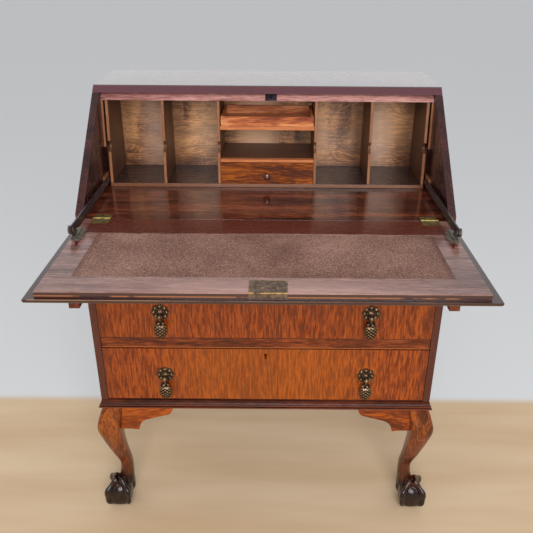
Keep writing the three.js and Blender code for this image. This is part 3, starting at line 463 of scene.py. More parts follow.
FINISHES = {
    "case": wood("dark_mahogany", "z", tone(38, 18, 18), tone(58, 27, 27), tone(80, 40, 36),
                 rough=0.28, coat=0.2, paint=side_paint),
    "board": wood("dark_top", "x", tone(42, 20, 20), tone(62, 31, 30), tone(86, 46, 42),
                  rough=0.16, coat=1.0, figure=26, paint=board_paint),
    "moulding": wood("moulding", "x", tone(44, 16, 8), tone(70, 27, 14), tone(98, 42, 22),
                     rough=0.38, paint=moulding_paint, shine=0.25),
    "veneer": wood("veneer", "z", tone(102, 38, 5), tone(138, 57, 9), tone(170, 80, 18),
                   rough=0.3, coat=0.1, figure=46, swirl=1.4, long_share=0.16, shift=0.31,
                   paint=drawer_paint, fine_share=0.76),
    "rail": wood("rail", "x", tone(56, 20, 4), tone(106, 42, 13), tone(150, 72, 28),
                 rough=0.36, figure=44, swirl=0.4, paint=rail_paint),
    "writing": wood("writing_board", "x", tone(42, 15, 9), tone(88, 38, 24), tone(140, 72, 46),
                    rough=0.15, coat=0.8, figure=34),
    "fall": wood("fall", "x", tone(92, 56, 48), tone(134, 91, 81), tone(170, 128, 116),
                 rough=0.26, coat=0.5, figure=36, swirl=0.5, paint=fall_paint),
    "raw": wood("raw_edge", "x", tone(130, 78, 74), tone(174, 118, 112), tone(212, 158, 148), rough=0.5),
    "shelf": wood("shelf", "x", tone(150, 78, 40), tone(190, 110, 60), tone(222, 146, 90), rough=0.45,
                  paint=raw_edge(tone(200, 118, 68), tone(70, 46, 38), SHELF_EDGE_END)),
    "unit_floor": wood("unit_floor", "x", tone(26, 17, 18), tone(42, 28, 29), tone(62, 45, 45),
                       rough=0.26, coat=0.15,
                       paint=raw_edge(tone(166, 106, 70), tone(30, 22, 25), FLOOR_EDGE_END)),
    "divider": wood("divider", "z", tone(120, 68, 34), tone(160, 98, 54), tone(200, 136, 84),
                    rough=0.4, paint=divider_paint),
    "unit_back": wood("unit_back", "x", tone(68, 34, 16), tone(142, 86, 48), tone(220, 158, 102),
                      rough=0.34, coat=0.3, figure=15, swirl=0.8, contour=170.0, long_share=0.42,
                      shift=0.7, paint=gilt_paint),
    "small_drawer": wood("small_drawer", "x", tone(74, 28, 4), tone(116, 52, 10), tone(168, 90, 26),
                         rough=0.34, figure=44, swirl=0.8, contour=60.0, long_share=0.12, shift=0.2,
                         shine=0.2),
    "tray": wood("letter_tray", "x", tone(136, 60, 26), tone(192, 106, 56), tone(230, 152, 96),
                 rough=0.42, coat=0.1, figure=50),
    "back": wood("back_panel", "z", tone(100, 70, 44), tone(136, 100, 66), tone(166, 128, 90),
                 rough=0.6, figure=20),
    "loper": wood("loper", "y", tone(78, 34, 22), tone(114, 54, 34), tone(146, 80, 50), rough=0.42),
    "leg": wood("leg", "z", tone(80, 32, 4), tone(126, 56, 12), tone(162, 82, 24),
                rough=0.2, coat=0.3, figure=24, swirl=1.4, contour=46.0, long_share=0.3, shift=0.11,
                paint=leg_paint),
    "bracket": wood("bracket", "x", tone(96, 36, 2), tone(142, 60, 8), tone(180, 88, 20),
                    rough=0.3, coat=0.1, figure=30, swirl=1.0, contour=50.0, long_share=0.2),
    "knob": wood("knob", "y", tone(64, 22, 14), tone(98, 42, 28), tone(130, 66, 46), rough=0.1, coat=1.0),
    "leather": leather_finish(),
    "lock": flat_metal("lock_brass", tone(92, 76, 66), tone(140, 120, 102), tone(246, 200, 118),
                       plate_edges("fall_lock", rim=1.0, fold=2.4), rough=0.5),
    "hinge": flat_metal("hinge_brass", tone(96, 80, 50), tone(150, 130, 86), tone(252, 230, 128),
                        knuckle_edge, rough=0.45),
    "aged": cast_metal("aged_brass", tone(12, 8, 7), tone(82, 62, 45), tone(216, 184, 146)),
    "iron": flat_metal("bracket_iron", tone(74, 68, 60), tone(134, 124, 108), metallic=0.3),
    "steel": flat_metal("black_steel", tone(42, 35, 39), tone(84, 73, 80), rough=0.3, metallic=0.4),
}


def pair(name):
    return [f"{name}_{side}" for side in SIDES]


def dress(finish, *nodes):
    """Gives carried-over nodes their finish."""
    for name in nodes:
        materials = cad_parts[name].data.materials
        materials.clear()
        materials.append(FINISHES[finish])


def eased(width, *nodes, joined_faces=True):
    """Rounds the sharp edges of carried-over nodes a little, as sanding and use do."""
    for name in nodes:
        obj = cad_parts[name]
        obj.modifiers.new("weld", "WELD").merge_threshold = 0.00001
        if joined_faces:
            flat = obj.modifiers.new("flat", "DECIMATE")
            flat.decimate_type = "DISSOLVE"
            flat.angle_limit = math.radians(1)
        bevel = obj.modifiers.new("ease", "BEVEL")
        bevel.width = width / MM
        bevel.segments = 2
        bevel.limit_method = "ANGLE"
        bevel.angle_limit = math.radians(35)


def around(count):
    """Angles round a full turn."""
    return [i / count * math.tau for i in range(count)]


def skin(rings, relief=None):
    """Points, faces and relief of a closed skin over rings of points."""
    count = len(rings[0])
    points = [point for ring in rings for point in ring]
    faces = []
    for start in range(0, (len(rings) - 1) * count, count):
        for i in range(count):
            j = (i + 1) % count
            faces.append((start + i, start + j, start + count + j, start + count + i))
    last = (len(rings) - 1) * count
    faces.append(tuple(range(count - 1, -1, -1)))
    faces.append(tuple(range(last, last + count)))
    return points, faces, relief or [0.5] * len(points)


def together(*shells):
    points, faces, relief = [], [], []
    for shell_points, shell_faces, shell_relief in shells:
        faces += [tuple(i + len(points) for i in face) for face in shell_faces]
        points += shell_points
        relief += shell_relief
    return points, faces, relief


def bare_mesh(name, points, faces):
    mesh = bpy.data.meshes.new(name)
    mesh.from_pydata(points, [], faces)
    obj = bpy.data.objects.new(name, mesh)
    bpy.context.scene.collection.objects.link(obj)
    return obj


def piece(name, shell, finish, body, stands_for=None, mirror=False, at=(0, 0, 0), smooth=True):
    """Makes a piece from points in the case's own frame, and lets it ride on its body."""
    points, faces, relief = shell
    side = -1 if mirror else 1
    placed = [place(side * (x + at[0]), y + at[1], z + at[2]) for x, y, z in points]
    obj = bare_mesh(name, placed, [tuple(reversed(f)) for f in faces] if mirror else faces)
    obj.data.materials.append(FINISHES[finish])
    obj.data.attributes.new("relief", "FLOAT", "POINT").data.foreach_set("value", relief)
    if smooth:
        obj.data.polygons.foreach_set("use_smooth", [True] * len(faces))
    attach(obj, body)
    if stands_for:
        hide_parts(stands_for)
    return obj


def fused(shell, voxel, rounds):
    """One smooth skin over several shells that run into each other."""
    obj = bare_mesh("fused", [place(*point) for point in shell[0]], shell[1])
    remesh = obj.modifiers.new("fuse", "REMESH")
    remesh.mode = "VOXEL"
    remesh.voxel_size = voxel / MM
    smooth = obj.modifiers.new("smooth", "SMOOTH")
    smooth.factor = 0.5
    smooth.iterations = rounds
    bpy.context.view_layer.update()
    mesh = bpy.data.meshes.new_from_object(obj.evaluated_get(bpy.context.evaluated_depsgraph_get()))
    points = [(v.co.x * MM, (v.co.y - FRONT) * MM, v.co.z * MM) for v in mesh.vertices]
    faces = [tuple(p.vertices) for p in mesh.polygons]
    bpy.data.meshes.remove(mesh)
    bpy.data.objects.remove(obj)
    return points, faces, [0.5] * len(points)


def held_in(shell, node):
    """Keeps points inside the box of the node that the piece stands for."""
    low, high = case_box(node)
    points = [tuple(min(max(c, a), b) for c, a, b in zip(point, low, high)) for point in shell[0]]
    return points, shell[1], shell[2]


def through(stations, share):
    """A point on a smooth curve through the stations."""
    spot = share * (len(stations) - 1)
    i = min(int(spot), len(stations) - 2)
    t = spot - i
    b, c = stations[i], stations[i + 1]
    a = stations[i - 1] if i > 0 else 2 * b - c
    d = stations[i + 2] if i + 2 < len(stations) else 2 * c - b
    ab, bc, cd = [(q - p).length ** 0.5 for p, q in ((a, b), (b, c), (c, d))]
    start = ((b - a) / ab - (c - a) / (ab + bc) + (c - b) / bc) * bc
    end = ((c - b) / bc - (d - b) / (bc + cd) + (d - c) / cd) * bc
    return (2 * b - 2 * c + start + end) * t ** 3 + (3 * c - 3 * b - 2 * start - end) * t ** 2 + start * t + b


CASE_HALF_WIDTH = 380
LEG_HEIGHT = 308

# The leg's sections: how far in from the corner, how wide, how high
LEG_STATIONS = [Vector(station) for station in (
    (25.3, 42.0, 53.475), (29.1, 35.1, 72.45), (31.0, 30.0, 112.0), (22.4, 37.0, 156.8),
    (13.37, 47.3, 210.0), (9.5, 55.0, 250.0), (14.72, 51.51, 279.0), (22.5, 47.0, LEG_HEIGHT))]
FOOT_SQUARENESS = 2.3
ADDED_SQUARENESS = 2.2
SQUARENESS_RISE = 1.5

# The foot: claws lie round a ball that is built from a block and a dome above it
BALL = Vector((368, 12, 32))
BALL_RADIUS = 33.4
CLAW_COUNT = 4
CLAW_RADIUS = 9.2
CLAW_SEAT = 2.4
CLAW_TOP_ANGLE = 78
CLAW_SWEEP = 136
BLOCK_HALF = 29
BLOCK_MIDDLE = 25
BLOCK_RISE = 25
DOME_RADIUS = 29
DOME_LIFT = 3


def squared(value, power):
    """Pushes a sine or cosine outwards, towards the side of a square."""
    return math.copysign(abs(value) ** power, value)


def leg_rings():
    """Rings of points down the leg, nearly round at the foot and squarer towards the top."""
    steps, corners = 66, 56
    rings = []
    for step in range(steps + 1):
        share = step / steps
        inset, width, height = through(LEG_STATIONS, share)
        power = 2 / (FOOT_SQUARENESS + ADDED_SQUARENESS * share ** SQUARENESS_RISE)
        rings.append([(CASE_HALF_WIDTH - inset + squared(math.cos(a), power) * width / 2,
                       inset + squared(math.sin(a), power) * width / 2, height) for a in around(corners)])
    return rings


def toe(bearing):
    """A claw that runs down over the block, with hollows between its knuckles and a talon at its end."""
    steps, sides, knuckle_waves = 52, 18, 2.6
    outward = Vector((math.cos(bearing), math.sin(bearing), 0))
    sideways = Vector((-math.sin(bearing), math.cos(bearing), 0))
    rings = []
    for step in range(steps + 1):
        share = step / steps
        lift = math.radians(CLAW_TOP_ANGLE - CLAW_SWEEP * share)
        radial = outward * math.cos(lift) + Vector((0, 0, math.sin(lift)))
        knuckle = 1 + 0.22 * math.cos(share * knuckle_waves * math.tau) * (1 - share * 0.4)
        radius = CLAW_RADIUS * (1 - 0.4 * share ** 1.6) * knuckle
        middle = BALL + radial * (BALL_RADIUS + CLAW_SEAT)
        rings.append([tuple(middle + radial * radius * math.cos(a) * 1.15
                            + sideways * radius * 0.8 * math.sin(a)) for a in around(sides)])
    return skin(rings)


def ball():
    """The block that the claws hold, part ball and part cube."""
    steps, corners = 34, 56
    rings = []
    for step in range(1, steps):
        lift = math.pi * (step / steps - 0.5)
        reach = BLOCK_HALF * math.cos(lift) ** 0.45
        height = BLOCK_MIDDLE + BLOCK_RISE * squared(math.sin(lift), 0.62)
        rings.append([(BALL.x + reach * squared(math.cos(a), 0.66),
                       BALL.y + reach * squared(math.sin(a), 0.66), height) for a in around(corners)])
    return skin(rings)


def dome():
    """The rise of the ball above the block, on which the claws lie."""
    steps, corners = 28, 44
    rings = []
    for step in range(1, steps):
        lift = math.pi * (step / steps - 0.5)
        reach = DOME_RADIUS * math.cos(lift)
        height = BALL.z + DOME_LIFT + DOME_RADIUS * math.sin(lift)
        rings.append([(BALL.x + reach * math.cos(a), BALL.y + reach * math.sin(a), height)
                      for a in around(corners)])
    return skin(rings)


def bowed(a, b, c, steps=8):
    """Points along a curve from a to c that b pulls towards itself, without its first."""
    points = []
    for step in range(1, steps + 1):
        t = step / steps
        points.append(tuple((1 - t) ** 2 * p + 2 * t * (1 - t) * q + t * t * r for p, q, r in zip(a, b, c)))
    return points


def side_ear():
    """The shaped ear behind the knee, along the side of the case, in shares of its length and height."""
    start, length, height, faces = 46, 84, 72.5, (359, 377)

    def at(along, down):
        return (start + length * along, LEG_HEIGHT - height * down)
    outline = [at(-0.12, 0), at(-0.12, 0.97)]
    outline += bowed(at(-0.12, 0.97), at(0.16, 0.93), at(0.28, 1))
    outline += bowed(at(0.28, 1), at(0.31, 0.61), at(0.51, 0.54))
    outline.append(at(0.9, 0.36))
    outline += bowed(at(0.9, 0.36), at(0.975, 0.31), at(1, 0.16))
    outline.append(at(1, 0))
    return skin([[(x, y, z) for y, z in outline] for x in faces])


def make_legs():
    voxel, rounds = 1.4, 2
    claws = [toe((claw + 0.5) / CLAW_COUNT * math.tau) for claw in range(CLAW_COUNT)]
    carved = together(skin(leg_rings()), ball(), dome(), side_ear(), *claws)
    front = held_in(fused(carved, voxel, rounds), "front_leg_right")
    points, faces, relief = front
    back = [(x, CASE_DEPTH - y, z) for x, y, z in points], [tuple(reversed(f)) for f in faces], relief
    for side in SIDES:
        for end, shell in (("front", front), ("back", back)):
            piece(f"{end}_leg_carved_{side}", shell, "leg", "carcass",
                  f"{end}_leg_{side}", side == "left")


def rod(radius, x0, x1, y, z, sides=20):
    """A rod along x with eased ends."""
    ease, end_share = 0.4, 0.86
    sections = ((x0, end_share), (x0 + ease, 1), (x1 - ease, 1), (x1, end_share))
    return skin([[(x, y + radius * r * math.cos(a), z + radius * r * math.sin(a)) for a in around(sides)]
                 for x, r in sections])


def bump_at(share, middle, width):
    """A rounded rise about a middle."""
    return math.exp(-((share - middle) / width) ** 2)


# Handles: a stamped plate with two ears that hold a pin, and a cast drop on the pin
PLATE_RADIUS = 20.4
PLATE_BACK = 0.3
PLATE_REACH = 3.1
PETAL_COUNT = 8
BEAD_COUNT = 20


def pin_ears():
    """Two rounded ears that stand out from the plate and hold the pin."""
    radius, root, faces = 3, 1.6, (3.2, 5.4)
    top, foot = radius - PIN_DROP, -radius - PIN_DROP
    half_turn = [math.pi * (i / 10 - 0.5) for i in range(11)]
    ears = []
    for side in (1, -1):
        outline = [(-root, top), (-root, foot), (-PIN_REACH, foot)]
        outline += [(-PIN_REACH - radius * math.cos(a), -PIN_DROP + radius * math.sin(a)) for a in half_turn]
        ears.append(skin([[(side * x, y, z) for y, z in outline] for x in faces]))
    return ears


def rosette():
    """A stamped plate: petals with raised ribs, a beaded ring and a domed middle, with ears and pin."""
    steps, corners = 26, 128
    rings, relief = [], []
    for step in range(steps):
        share = 1 - step / steps
        ring = []
        for angle in around(corners):
            wave = math.cos(angle * PETAL_COUNT)
            petal = bump_at(share, 0.7, 0.13) * (0.55 + 0.45 * wave)
            rib = bump_at(share, 0.7, 0.16) * 0.45 * abs(math.cos(angle * PETAL_COUNT * 2)) ** 6
            bead = bump_at(share, 0.43, 0.045) * (0.8 + 0.35 * math.cos(angle * BEAD_COUNT))
            middle = max(0.0, 1 - (share / 0.34) ** 2)
            height = 0.5 + 1.2 * bump_at(share, 0.93, 0.05) + 1.7 * petal + rib + 1.2 * bead + 1.9 * middle
            height = min(height, PLATE_REACH) if step else 0.0
            edge = PLATE_RADIUS * (1 - 0.045 * (1 - wave)) * share
            ring.append((edge * math.cos(angle), -PLATE_BACK - height, edge * math.sin(angle)))
            relief.append(0.12 + (height - 0.6) / 2.6)
        rings.append(ring)
    pin_radius, pin_half = 1.5, 5.1
    pin = rod(pin_radius, -pin_half, pin_half, -PIN_REACH, -PIN_DROP)
    return together(skin(rings, relief), *pin_ears(), pin)


# The cast drop: heights from the middle of the plate, and its depth as a share of its width
DROP_RADIUS = 14
DROP_LENGTH = 36
DROP_FOOT = 58.5
DROP_DEPTH_SHARE = 0.56
LEAF_START = 29.5
DROP_PROFILE_SHARES = ((0.02, 0.0), (0.36, 0.02), (0.74, 0.14), (0.97, 0.4), (1.0, 0.64), (0.9, 0.82),
                       (0.62, 0.93), (0.34, 0.97))

# The neck's sections: radius, height and how far its five lobes stand out
NECK_SECTIONS = ((4.4, -24.6, 0), (6.4, -23.6, 0.1), (8.8, -21.6, 0.18), (9.6, -19.4, 0.2),
                 (7.6, -17.4, 0.12), (4.0, -16.2, 0), (2.7, -15.4, 0), (3.4, -11.0, 0))

# The eye's section: how far along the pin, and the radius there
EYE_SECTION = ((-2.6, 5.0), (-2.1, 5.5), (2.1, 5.5), (2.6, 5.0), (2.6, 2.6), (2.1, 2.1), (-2.1, 2.1),
               (-2.6, 2.6))


def pineapple():
    """A blunt pineapple with a lattice cut into it, and short leaves at its top."""
    steps, corners = 80, 120
    stations = [Vector((across * DROP_RADIUS, up * DROP_LENGTH, 0)) for across, up in DROP_PROFILE_SHARES]
    rings, relief = [], []
    for step in range(steps + 1):
        across, up, _ = through(stations, step / steps)
        ring = []
        for angle in around(corners):
            lattice = abs(math.sin(angle * 4 + up * 0.42)) * abs(math.sin(angle * 4 - up * 0.42))
            groove = (1 - min(1.0, lattice * 1.6)) * min(1.0, across / 5)
            leaf = 0.0
            if up > LEAF_START:
                groove *= 0.3
                leaf = 1.2 * abs(math.cos(angle * 2.5)) * bump_at(up, LEAF_START + 2, 1.8)
            radius = max(0.2, min(DROP_RADIUS, across - 1.7 * groove + leaf))
            ring.append((radius * math.cos(angle),
                         -PIN_REACH + radius * math.sin(angle) * DROP_DEPTH_SHARE, -DROP_FOOT + up))
            relief.append(0.66 - groove * 1.1 + leaf * 0.1)
        rings.append(ring)
    return skin(rings, relief)


def neck():
    """The neck above the leaves, with a collar of five lobes."""
    angles = around(60)
    rings, relief = [], []
    for radius, height, lobe in NECK_SECTIONS:
        swell = [1 + lobe * math.cos(a * 5) for a in angles]
        rings.append([(radius * w * math.cos(a),
                       -PIN_REACH + radius * w * DROP_DEPTH_SHARE * math.sin(a), height)
                      for a, w in zip(angles, swell)])
        relief += [0.3 + (w - 1) * 2.4 for w in swell]
    return skin(rings, relief)


def eye():
    """The eye that turns on the pin: a ring with its section carried round."""
    turns, corners = 32, len(EYE_SECTION)
    points = [(x, -PIN_REACH + r * math.cos(a), -PIN_DROP + r * math.sin(a))
              for a in around(turns) for x, r in EYE_SECTION]
    faces = []
    for turn in range(turns):
        here, there = turn * corners, (turn + 1) % turns * corners
        for k in range(corners):
            after = (k + 1) % corners
            faces.append((here + k, here + after, there + after, there + k))
    return points, faces, [0.6] * len(points)


def drop():
    return together(pineapple(), neck(), eye())


def make_handles():
    plate, hanging = rosette(), drop()
    for level in LEVELS:
        low, high = case_box(f"{level}_drawer")
        at = (HANDLE_INSET, 0, (low.z + high.z) / 2)
        for side in SIDES:
            mirrored = side == "left"
            piece(f"{level}_plate_stamped_{side}", plate, "aged", f"{level}_drawer",
                  f"{level}_rosette_{side}", mirrored, at)
            piece(f"{level}_drop_cast_{side}", hanging, "aged", f"{level}_drop_{side}",
                  f"{level}_drop_{side}", mirrored, at)


# The turned knob: its profile from the drawer outwards, in shares of radius and length
KNOB_RADIUS = 8
KNOB_LENGTH = 15
KNOB_PROFILE_SHARES = ((0.58, 0), (0.56, 0.07), (0.42, 0.16), (0.4, 0.38), (0.72, 0.48), (0.97, 0.64),
                       (0.98, 0.76), (0.8, 0.9), (0.4, 0.985), (0.04, 1))


def make_knob():
    """A turned knob with a collar, a waist and a flattened head."""
    steps, corners, widest = 54, 40, 7.9
    low, high = case_box("small_drawer_knob")
    middle = (low.z + high.z) / 2
    stations = [Vector((r * KNOB_RADIUS, h * KNOB_LENGTH, 0)) for r, h in KNOB_PROFILE_SHARES]
    rings = []
    for step in range(steps + 1):
        r, h, _ = through(stations, step / steps)
        radius, reach = min(r, widest), min(max(h, 0), KNOB_LENGTH)
        rings.append([(radius * math.cos(a), high.y - reach, middle + radius * math.sin(a))
                      for a in around(corners)])
    piece("small_drawer_knob_turned", skin(rings), "knob", "small_drawer",
          "small_drawer_knob")


# Screws: a head's heights from its own plane, and each screw's place and its slot's turn
SCREW_FLOOR = (-0.7, -0.25)
SCREW_FACE = (-0.4, 0.12)
SLOT_SHARE = 0.16
LOCK_SCREW_RADIUS = 2.6
SMALL_SCREW_RADIUS = 2.0
LOCK_SCREWS = ((-22, 12, 0.4), (38, 12, 1.1), (-22, 38, 2.0), (38, 38, 0.1))
HINGE_SCREWS = ((317, 0.6), (340, 1.7))
LEAF_RISE = 0.25


def screw_head(radius, turn):
    """A flat countersunk head with its slot, lying in the plane z = 0: two halves over a lower floor."""
    floor = [[(radius * math.cos(a), radius * math.sin(a), z) for a in around(24)] for z in SCREW_FLOOR]
    shells = [skin(floor)]
    start = math.asin(SLOT_SHARE)
    for side in (turn, turn + math.pi):
        angles = [side + start + (math.pi - 2 * start) * i / 12 for i in range(13)]
        shells.append(skin([[(radius * math.cos(a), radius * math.sin(a), z) for a in angles]
                            for z in SCREW_FACE]))
    return together(*shells)


def make_screws():
    """Slotted screws in the lock and in the hinge leaves."""
    lock = case_box("fall_lock")[0]
    case_y, fall_y = 17, -9
    for i, (x, y, turn) in enumerate(LOCK_SCREWS):
        piece(f"lock_screw_{i + 1}", screw_head(LOCK_SCREW_RADIUS, turn), "lock", "fall",
              at=(x, lock.y + y, WRITING_HEIGHT), smooth=False)
    for side in SIDES:
        for i, (across, turn) in enumerate(HINGE_SCREWS):
            for leaf, body, y in (("case", "carcass", case_y), ("fall", "fall", fall_y)):
                piece(f"hinge_{leaf}_screw_{side}_{i + 1}", screw_head(SMALL_SCREW_RADIUS, turn), "hinge",
                      body, mirror=side == "left", at=(across, y, WRITING_HEIGHT + LEAF_RISE),
                      smooth=False)


def make_lock_studs():
    """Two domed studs in the middle of the lock plate."""
    profile = ((2.2, -0.4), (2.1, 0.2), (1.6, 0.55), (0.9, 0.72), (0.2, 0.76))
    stud_places, stud_y = (-1, 23.6), -269.6
    rings = [[(r * math.cos(a), r * math.sin(a), z) for a in around(24)] for r, z in profile]
    for i, x in enumerate(stud_places):
        shell = skin(rings, [0.7] * len(rings) * len(rings[0]))
        piece(f"lock_stud_{i + 1}", shell, "aged", "fall", at=(x, stud_y, WRITING_HEIGHT))


# Hinges, right side: knuckles stand on one pin between the two leaves
HINGE_START = 311
HINGE_WIDTH = 35
KNUCKLE_COUNT = 5
KNUCKLE_RADIUS = 2.3
KNUCKLE_GAP = 0.15
KNUCKLE_RISE = 0.3
LEAF_MARGIN = 0.2
LEAF_NEAR = 3.4
LEAF_REACH = 22
LEAF_CHAMFER = 1
LEAF_DEPTH = 1.2


def hinge_leaf(direction, knuckles):
    """A leaf let into the wood, and its knuckles on the pin."""
    near, far = HINGE_SETBACK + direction * LEAF_NEAR, HINGE_SETBACK + direction * LEAF_REACH
    left, right = HINGE_START + LEAF_MARGIN, HINGE_START + HINGE_WIDTH - LEAF_MARGIN
    shoulder = far - direction * LEAF_CHAMFER
    corners = [(left, near), (right, near), (right, shoulder), (right - LEAF_CHAMFER, far),
               (left + LEAF_CHAMFER, far), (left, shoulder)]
    if direction < 0:
        corners.reverse()
    plate = skin([[(x, y, WRITING_HEIGHT + z) for x, y in corners] for z in (-LEAF_DEPTH, LEAF_RISE)])
    step = HINGE_WIDTH / KNUCKLE_COUNT
    rods = [rod(KNUCKLE_RADIUS, HINGE_START + k * step + KNUCKLE_GAP,
                HINGE_START + (k + 1) * step - KNUCKLE_GAP, HINGE_SETBACK, WRITING_HEIGHT + KNUCKLE_RISE)
            for k in knuckles]
    return together(plate, *rods)


def make_hinges():
    for leaf, body, direction, knuckles in (("case", "carcass", 1, (0, 2, 4)), ("fall", "fall", -1, (1, 3))):
        for side in SIDES:
            piece(f"hinge_{leaf}_plate_{side}", hinge_leaf(direction, knuckles), "hinge", body,
                  f"hinge_{leaf}_leaf_{side}", side == "left", smooth=False)


# Stay plates, right side: sections as height and inset share, and the y of each screw
PLATE_CENTRE = Vector((350.5, -75, 0))
PLATE_SECTIONS = ((0.05, 0), (1.7, 0), (2.2, 0.05), (2.2, 0.16), (1.6, 0.2))
PLATE_SCREWS = (-62, -88)


def stay_plate_outline():
    """The plate from above: a wavy edge out to the front, a pointed front, and a wavy edge back."""
    outer, inner, back, front = 361, 342, -52, -97
    run, steps, waves = 44, 14, 1.5
    outline = [(341.5, -53), (outer, back)]
    for k in range(1, steps + 1):
        t = k / steps
        outline.append((outer - 3.2 * t - 1.6 * math.sin(t * math.tau * waves), back - run * t))
    outline += [(349.5, -100), (342.5, front)]
    for k in range(1, steps):
        t = k / steps
        outline.append((inner + 1.4 * math.sin(t * math.tau * waves), front + run * t))
    outline.reverse()
    return outline


def make_stay_plates():
    """The shaped iron plate under each stay bracket, let on to the fall with two screws."""
    screw_x, screw_rise = 347, 1.9
    outline = stay_plate_outline()
    rings = []
    for height, inset_share in PLATE_SECTIONS:
        rings.append([(x + (PLATE_CENTRE.x - x) * inset_share, y + (PLATE_CENTRE.y - y) * inset_share,
                       WRITING_HEIGHT + height) for x, y in outline])
    for side in SIDES:
        mirrored = side == "left"
        piece(f"stay_plate_{side}", skin(rings), "iron", "fall", mirror=mirrored,
              smooth=False)
        for i, y in enumerate(PLATE_SCREWS):
            piece(f"stay_plate_screw_{side}_{i + 1}", screw_head(SMALL_SCREW_RADIUS, 0.9 + i), "iron",
                  "fall", mirror=mirrored,
                  at=(screw_x, y, WRITING_HEIGHT + screw_rise), smooth=False)


def make_studs():
    """The domed head of the stud at the rear of each stay arm."""
    low, high = case_box("stay_arm_right")
    rear, middle = high.y - (high.z - low.z) / 2, (low.z + high.z) / 2
    profile = ((4.8, 0), (4.7, 0.7), (3.9, 1.4), (2.4, 1.9), (0.2, 2.1))
    gap = 0.05
    rings = [[(low.x - gap - h, rear + r * math.cos(a), middle + r * math.sin(a)) for a in around(28)]
             for r, h in profile]
    for side in SIDES:
        piece(f"stay_stud_{side}", skin(rings), "steel", f"stay_arm_{side}",
              mirror=side == "left")


def dress_nodes():
    dividers = [name for bay in ("inner", "middle", "outer") for name in pair(f"divider_{bay}")]
    drawers = [f"{level}_drawer" for level in LEVELS]
    dress("case", *pair("case_side"))
    dress("board", "top_board")
    dress("moulding", "base_board")
    dress("rail", "middle_rail", "loper_frame")
    dress("writing", "writing_board")
    dress("fall", "fall_panel")
    dress("raw", "stop_rail")
    dress("shelf", "upper_shelf", "lower_shelf")
    dress("unit_floor", "unit_floor")
    dress("divider", *dividers, *pair("stay_guide"))
    dress("unit_back", "unit_back")
    dress("small_drawer", "small_drawer")
    dress("tray", "letter_tray")
    dress("back", "back_panel")
    dress("loper", *pair("loper"))
    dress("bracket", *pair("front_bracket"))
    dress("leather", "fall_insert")
    dress("lock", "fall_lock")
    dress("iron", *pair("stay_bracket"))
    dress("steel", "strike_plate", *pair("stay_arm"))
    dress("veneer", *drawers)
    eased(1.0, *pair("case_side"), "top_board", *pair("front_bracket"))
    eased(0.6, "middle_rail", "stop_rail", "upper_shelf", "lower_shelf", "unit_floor", "small_drawer",
          "letter_tray", *drawers, *pair("loper"), "back_panel", *dividers)
    eased(0.4, *pair("stay_arm"), "fall_insert", "base_board")
    eased(0.6, "fall_panel", "writing_board", joined_faces=False)


def make_floor():
    """A wide pale floor, warm round the bureau and grey further back."""
    half, back, warm_end = 30, 40, 0.40
    corners = [(-half, -half, 0), (half, -half, 0), (half, back, 0), (-half, back, 0)]
    floor = bare_mesh("floor", corners, [(0, 1, 2, 3)])
    f = Finish("floor", Specular_IOR_Level=0.2)
    cloud = f.noise(f.stretched(1.2, 9, 1), 4.0)
    warm = f.ramp(cloud, [(0.35, tone(218, 188, 150)), (0.65, tone(232, 206, 172))])
    colour = f.mix(f.above(f.y, warm_end, 0.02), warm, tone(234, 236, 237))
    floor.data.materials.append(f.shade(colour, 0.75 + (cloud - 0.5) * 0.1))


# How bright the world is: as light, behind the bureau, and in front of it where polish mirrors it
WORLD_LEVEL = 0.62
BACKGROUND_LEVEL = 0.95
MIRRORED_LEVEL = 0.34


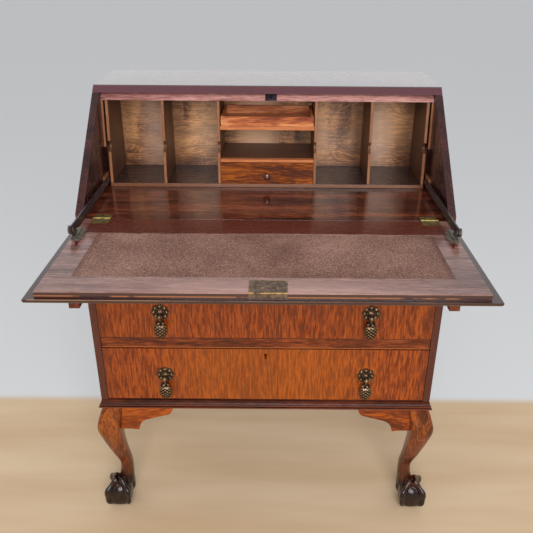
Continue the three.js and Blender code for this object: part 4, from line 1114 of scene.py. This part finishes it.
def make_light():
    """Even pale light from all round, and one wide soft lamp above and in front."""
    world = bpy.data.worlds.new("studio")
    bpy.context.scene.world = world
    world.use_nodes = True
    nodes = Nodes(world.node_tree)
    path = nodes.node("ShaderNodeLightPath", {}, {})
    direction = nodes.node("ShaderNodeTexCoord", {}, {}).out("Generated")
    depth = nodes.node("ShaderNodeSeparateXYZ", {}, [direction]).out(1)
    mirrored = nodes.node("ShaderNodeMapRange", {}, [depth, -0.6, 0.5, MIRRORED_LEVEL, BACKGROUND_LEVEL])
    strength = (path.out("Is Camera Ray") * (BACKGROUND_LEVEL - WORLD_LEVEL)
                + path.out("Is Glossy Ray") * (mirrored - WORLD_LEVEL) + WORLD_LEVEL)
    background = nodes.tree.nodes["Background"]
    nodes.feed(background.inputs["Color"], tone(250, 250, 252))
    nodes.feed(background.inputs["Strength"], strength)
    lamp = bpy.data.lights.new("lamp", "AREA")
    lamp.energy = 66
    lamp.size = 1.8
    lamp_object = bpy.data.objects.new("lamp", lamp)
    lamp_object.location = (0.25, -2.7, 1.95)
    towards = Vector((0, 0, 0.6)) - lamp_object.location
    lamp_object.rotation_euler = towards.to_track_quat("-Z", "Y").to_euler()
    bpy.context.scene.collection.objects.link(lamp_object)


def make_camera():
    """The photograph's viewpoint: angles in radians, the eye in the case's own frame."""
    yaw, pitch, roll = -0.0005, 0.443, 0.0073
    eye_place = (16.6, -1121.1, 1268.9)
    forward = Vector((math.sin(yaw) * math.cos(pitch), math.cos(yaw) * math.cos(pitch), -math.sin(pitch)))
    level = Vector((math.cos(yaw), -math.sin(yaw), 0))
    upright = level.cross(forward)
    right = math.cos(roll) * level + math.sin(roll) * upright
    up = -math.sin(roll) * level + math.cos(roll) * upright
    data = bpy.data.cameras.new("camera")
    data.sensor_fit = "HORIZONTAL"
    data.sensor_width = 36
    data.lens = 41.26
    data.shift_x = -0.01326
    data.shift_y = -0.0467
    camera = bpy.data.objects.new("camera", data)
    turn = Matrix((right, up, -forward)).transposed().to_4x4()
    camera.matrix_world = Matrix.Translation(place(*eye_place)) @ turn
    bpy.context.scene.collection.objects.link(camera)
    bpy.context.scene.camera = camera


make_camera()
make_light()
make_floor()
dress_nodes()
make_legs()
make_handles()
make_knob()
make_hinges()
make_screws()
make_lock_studs()
make_stay_plates()
make_studs()
bpy.context.scene.view_settings.view_transform = "Standard"
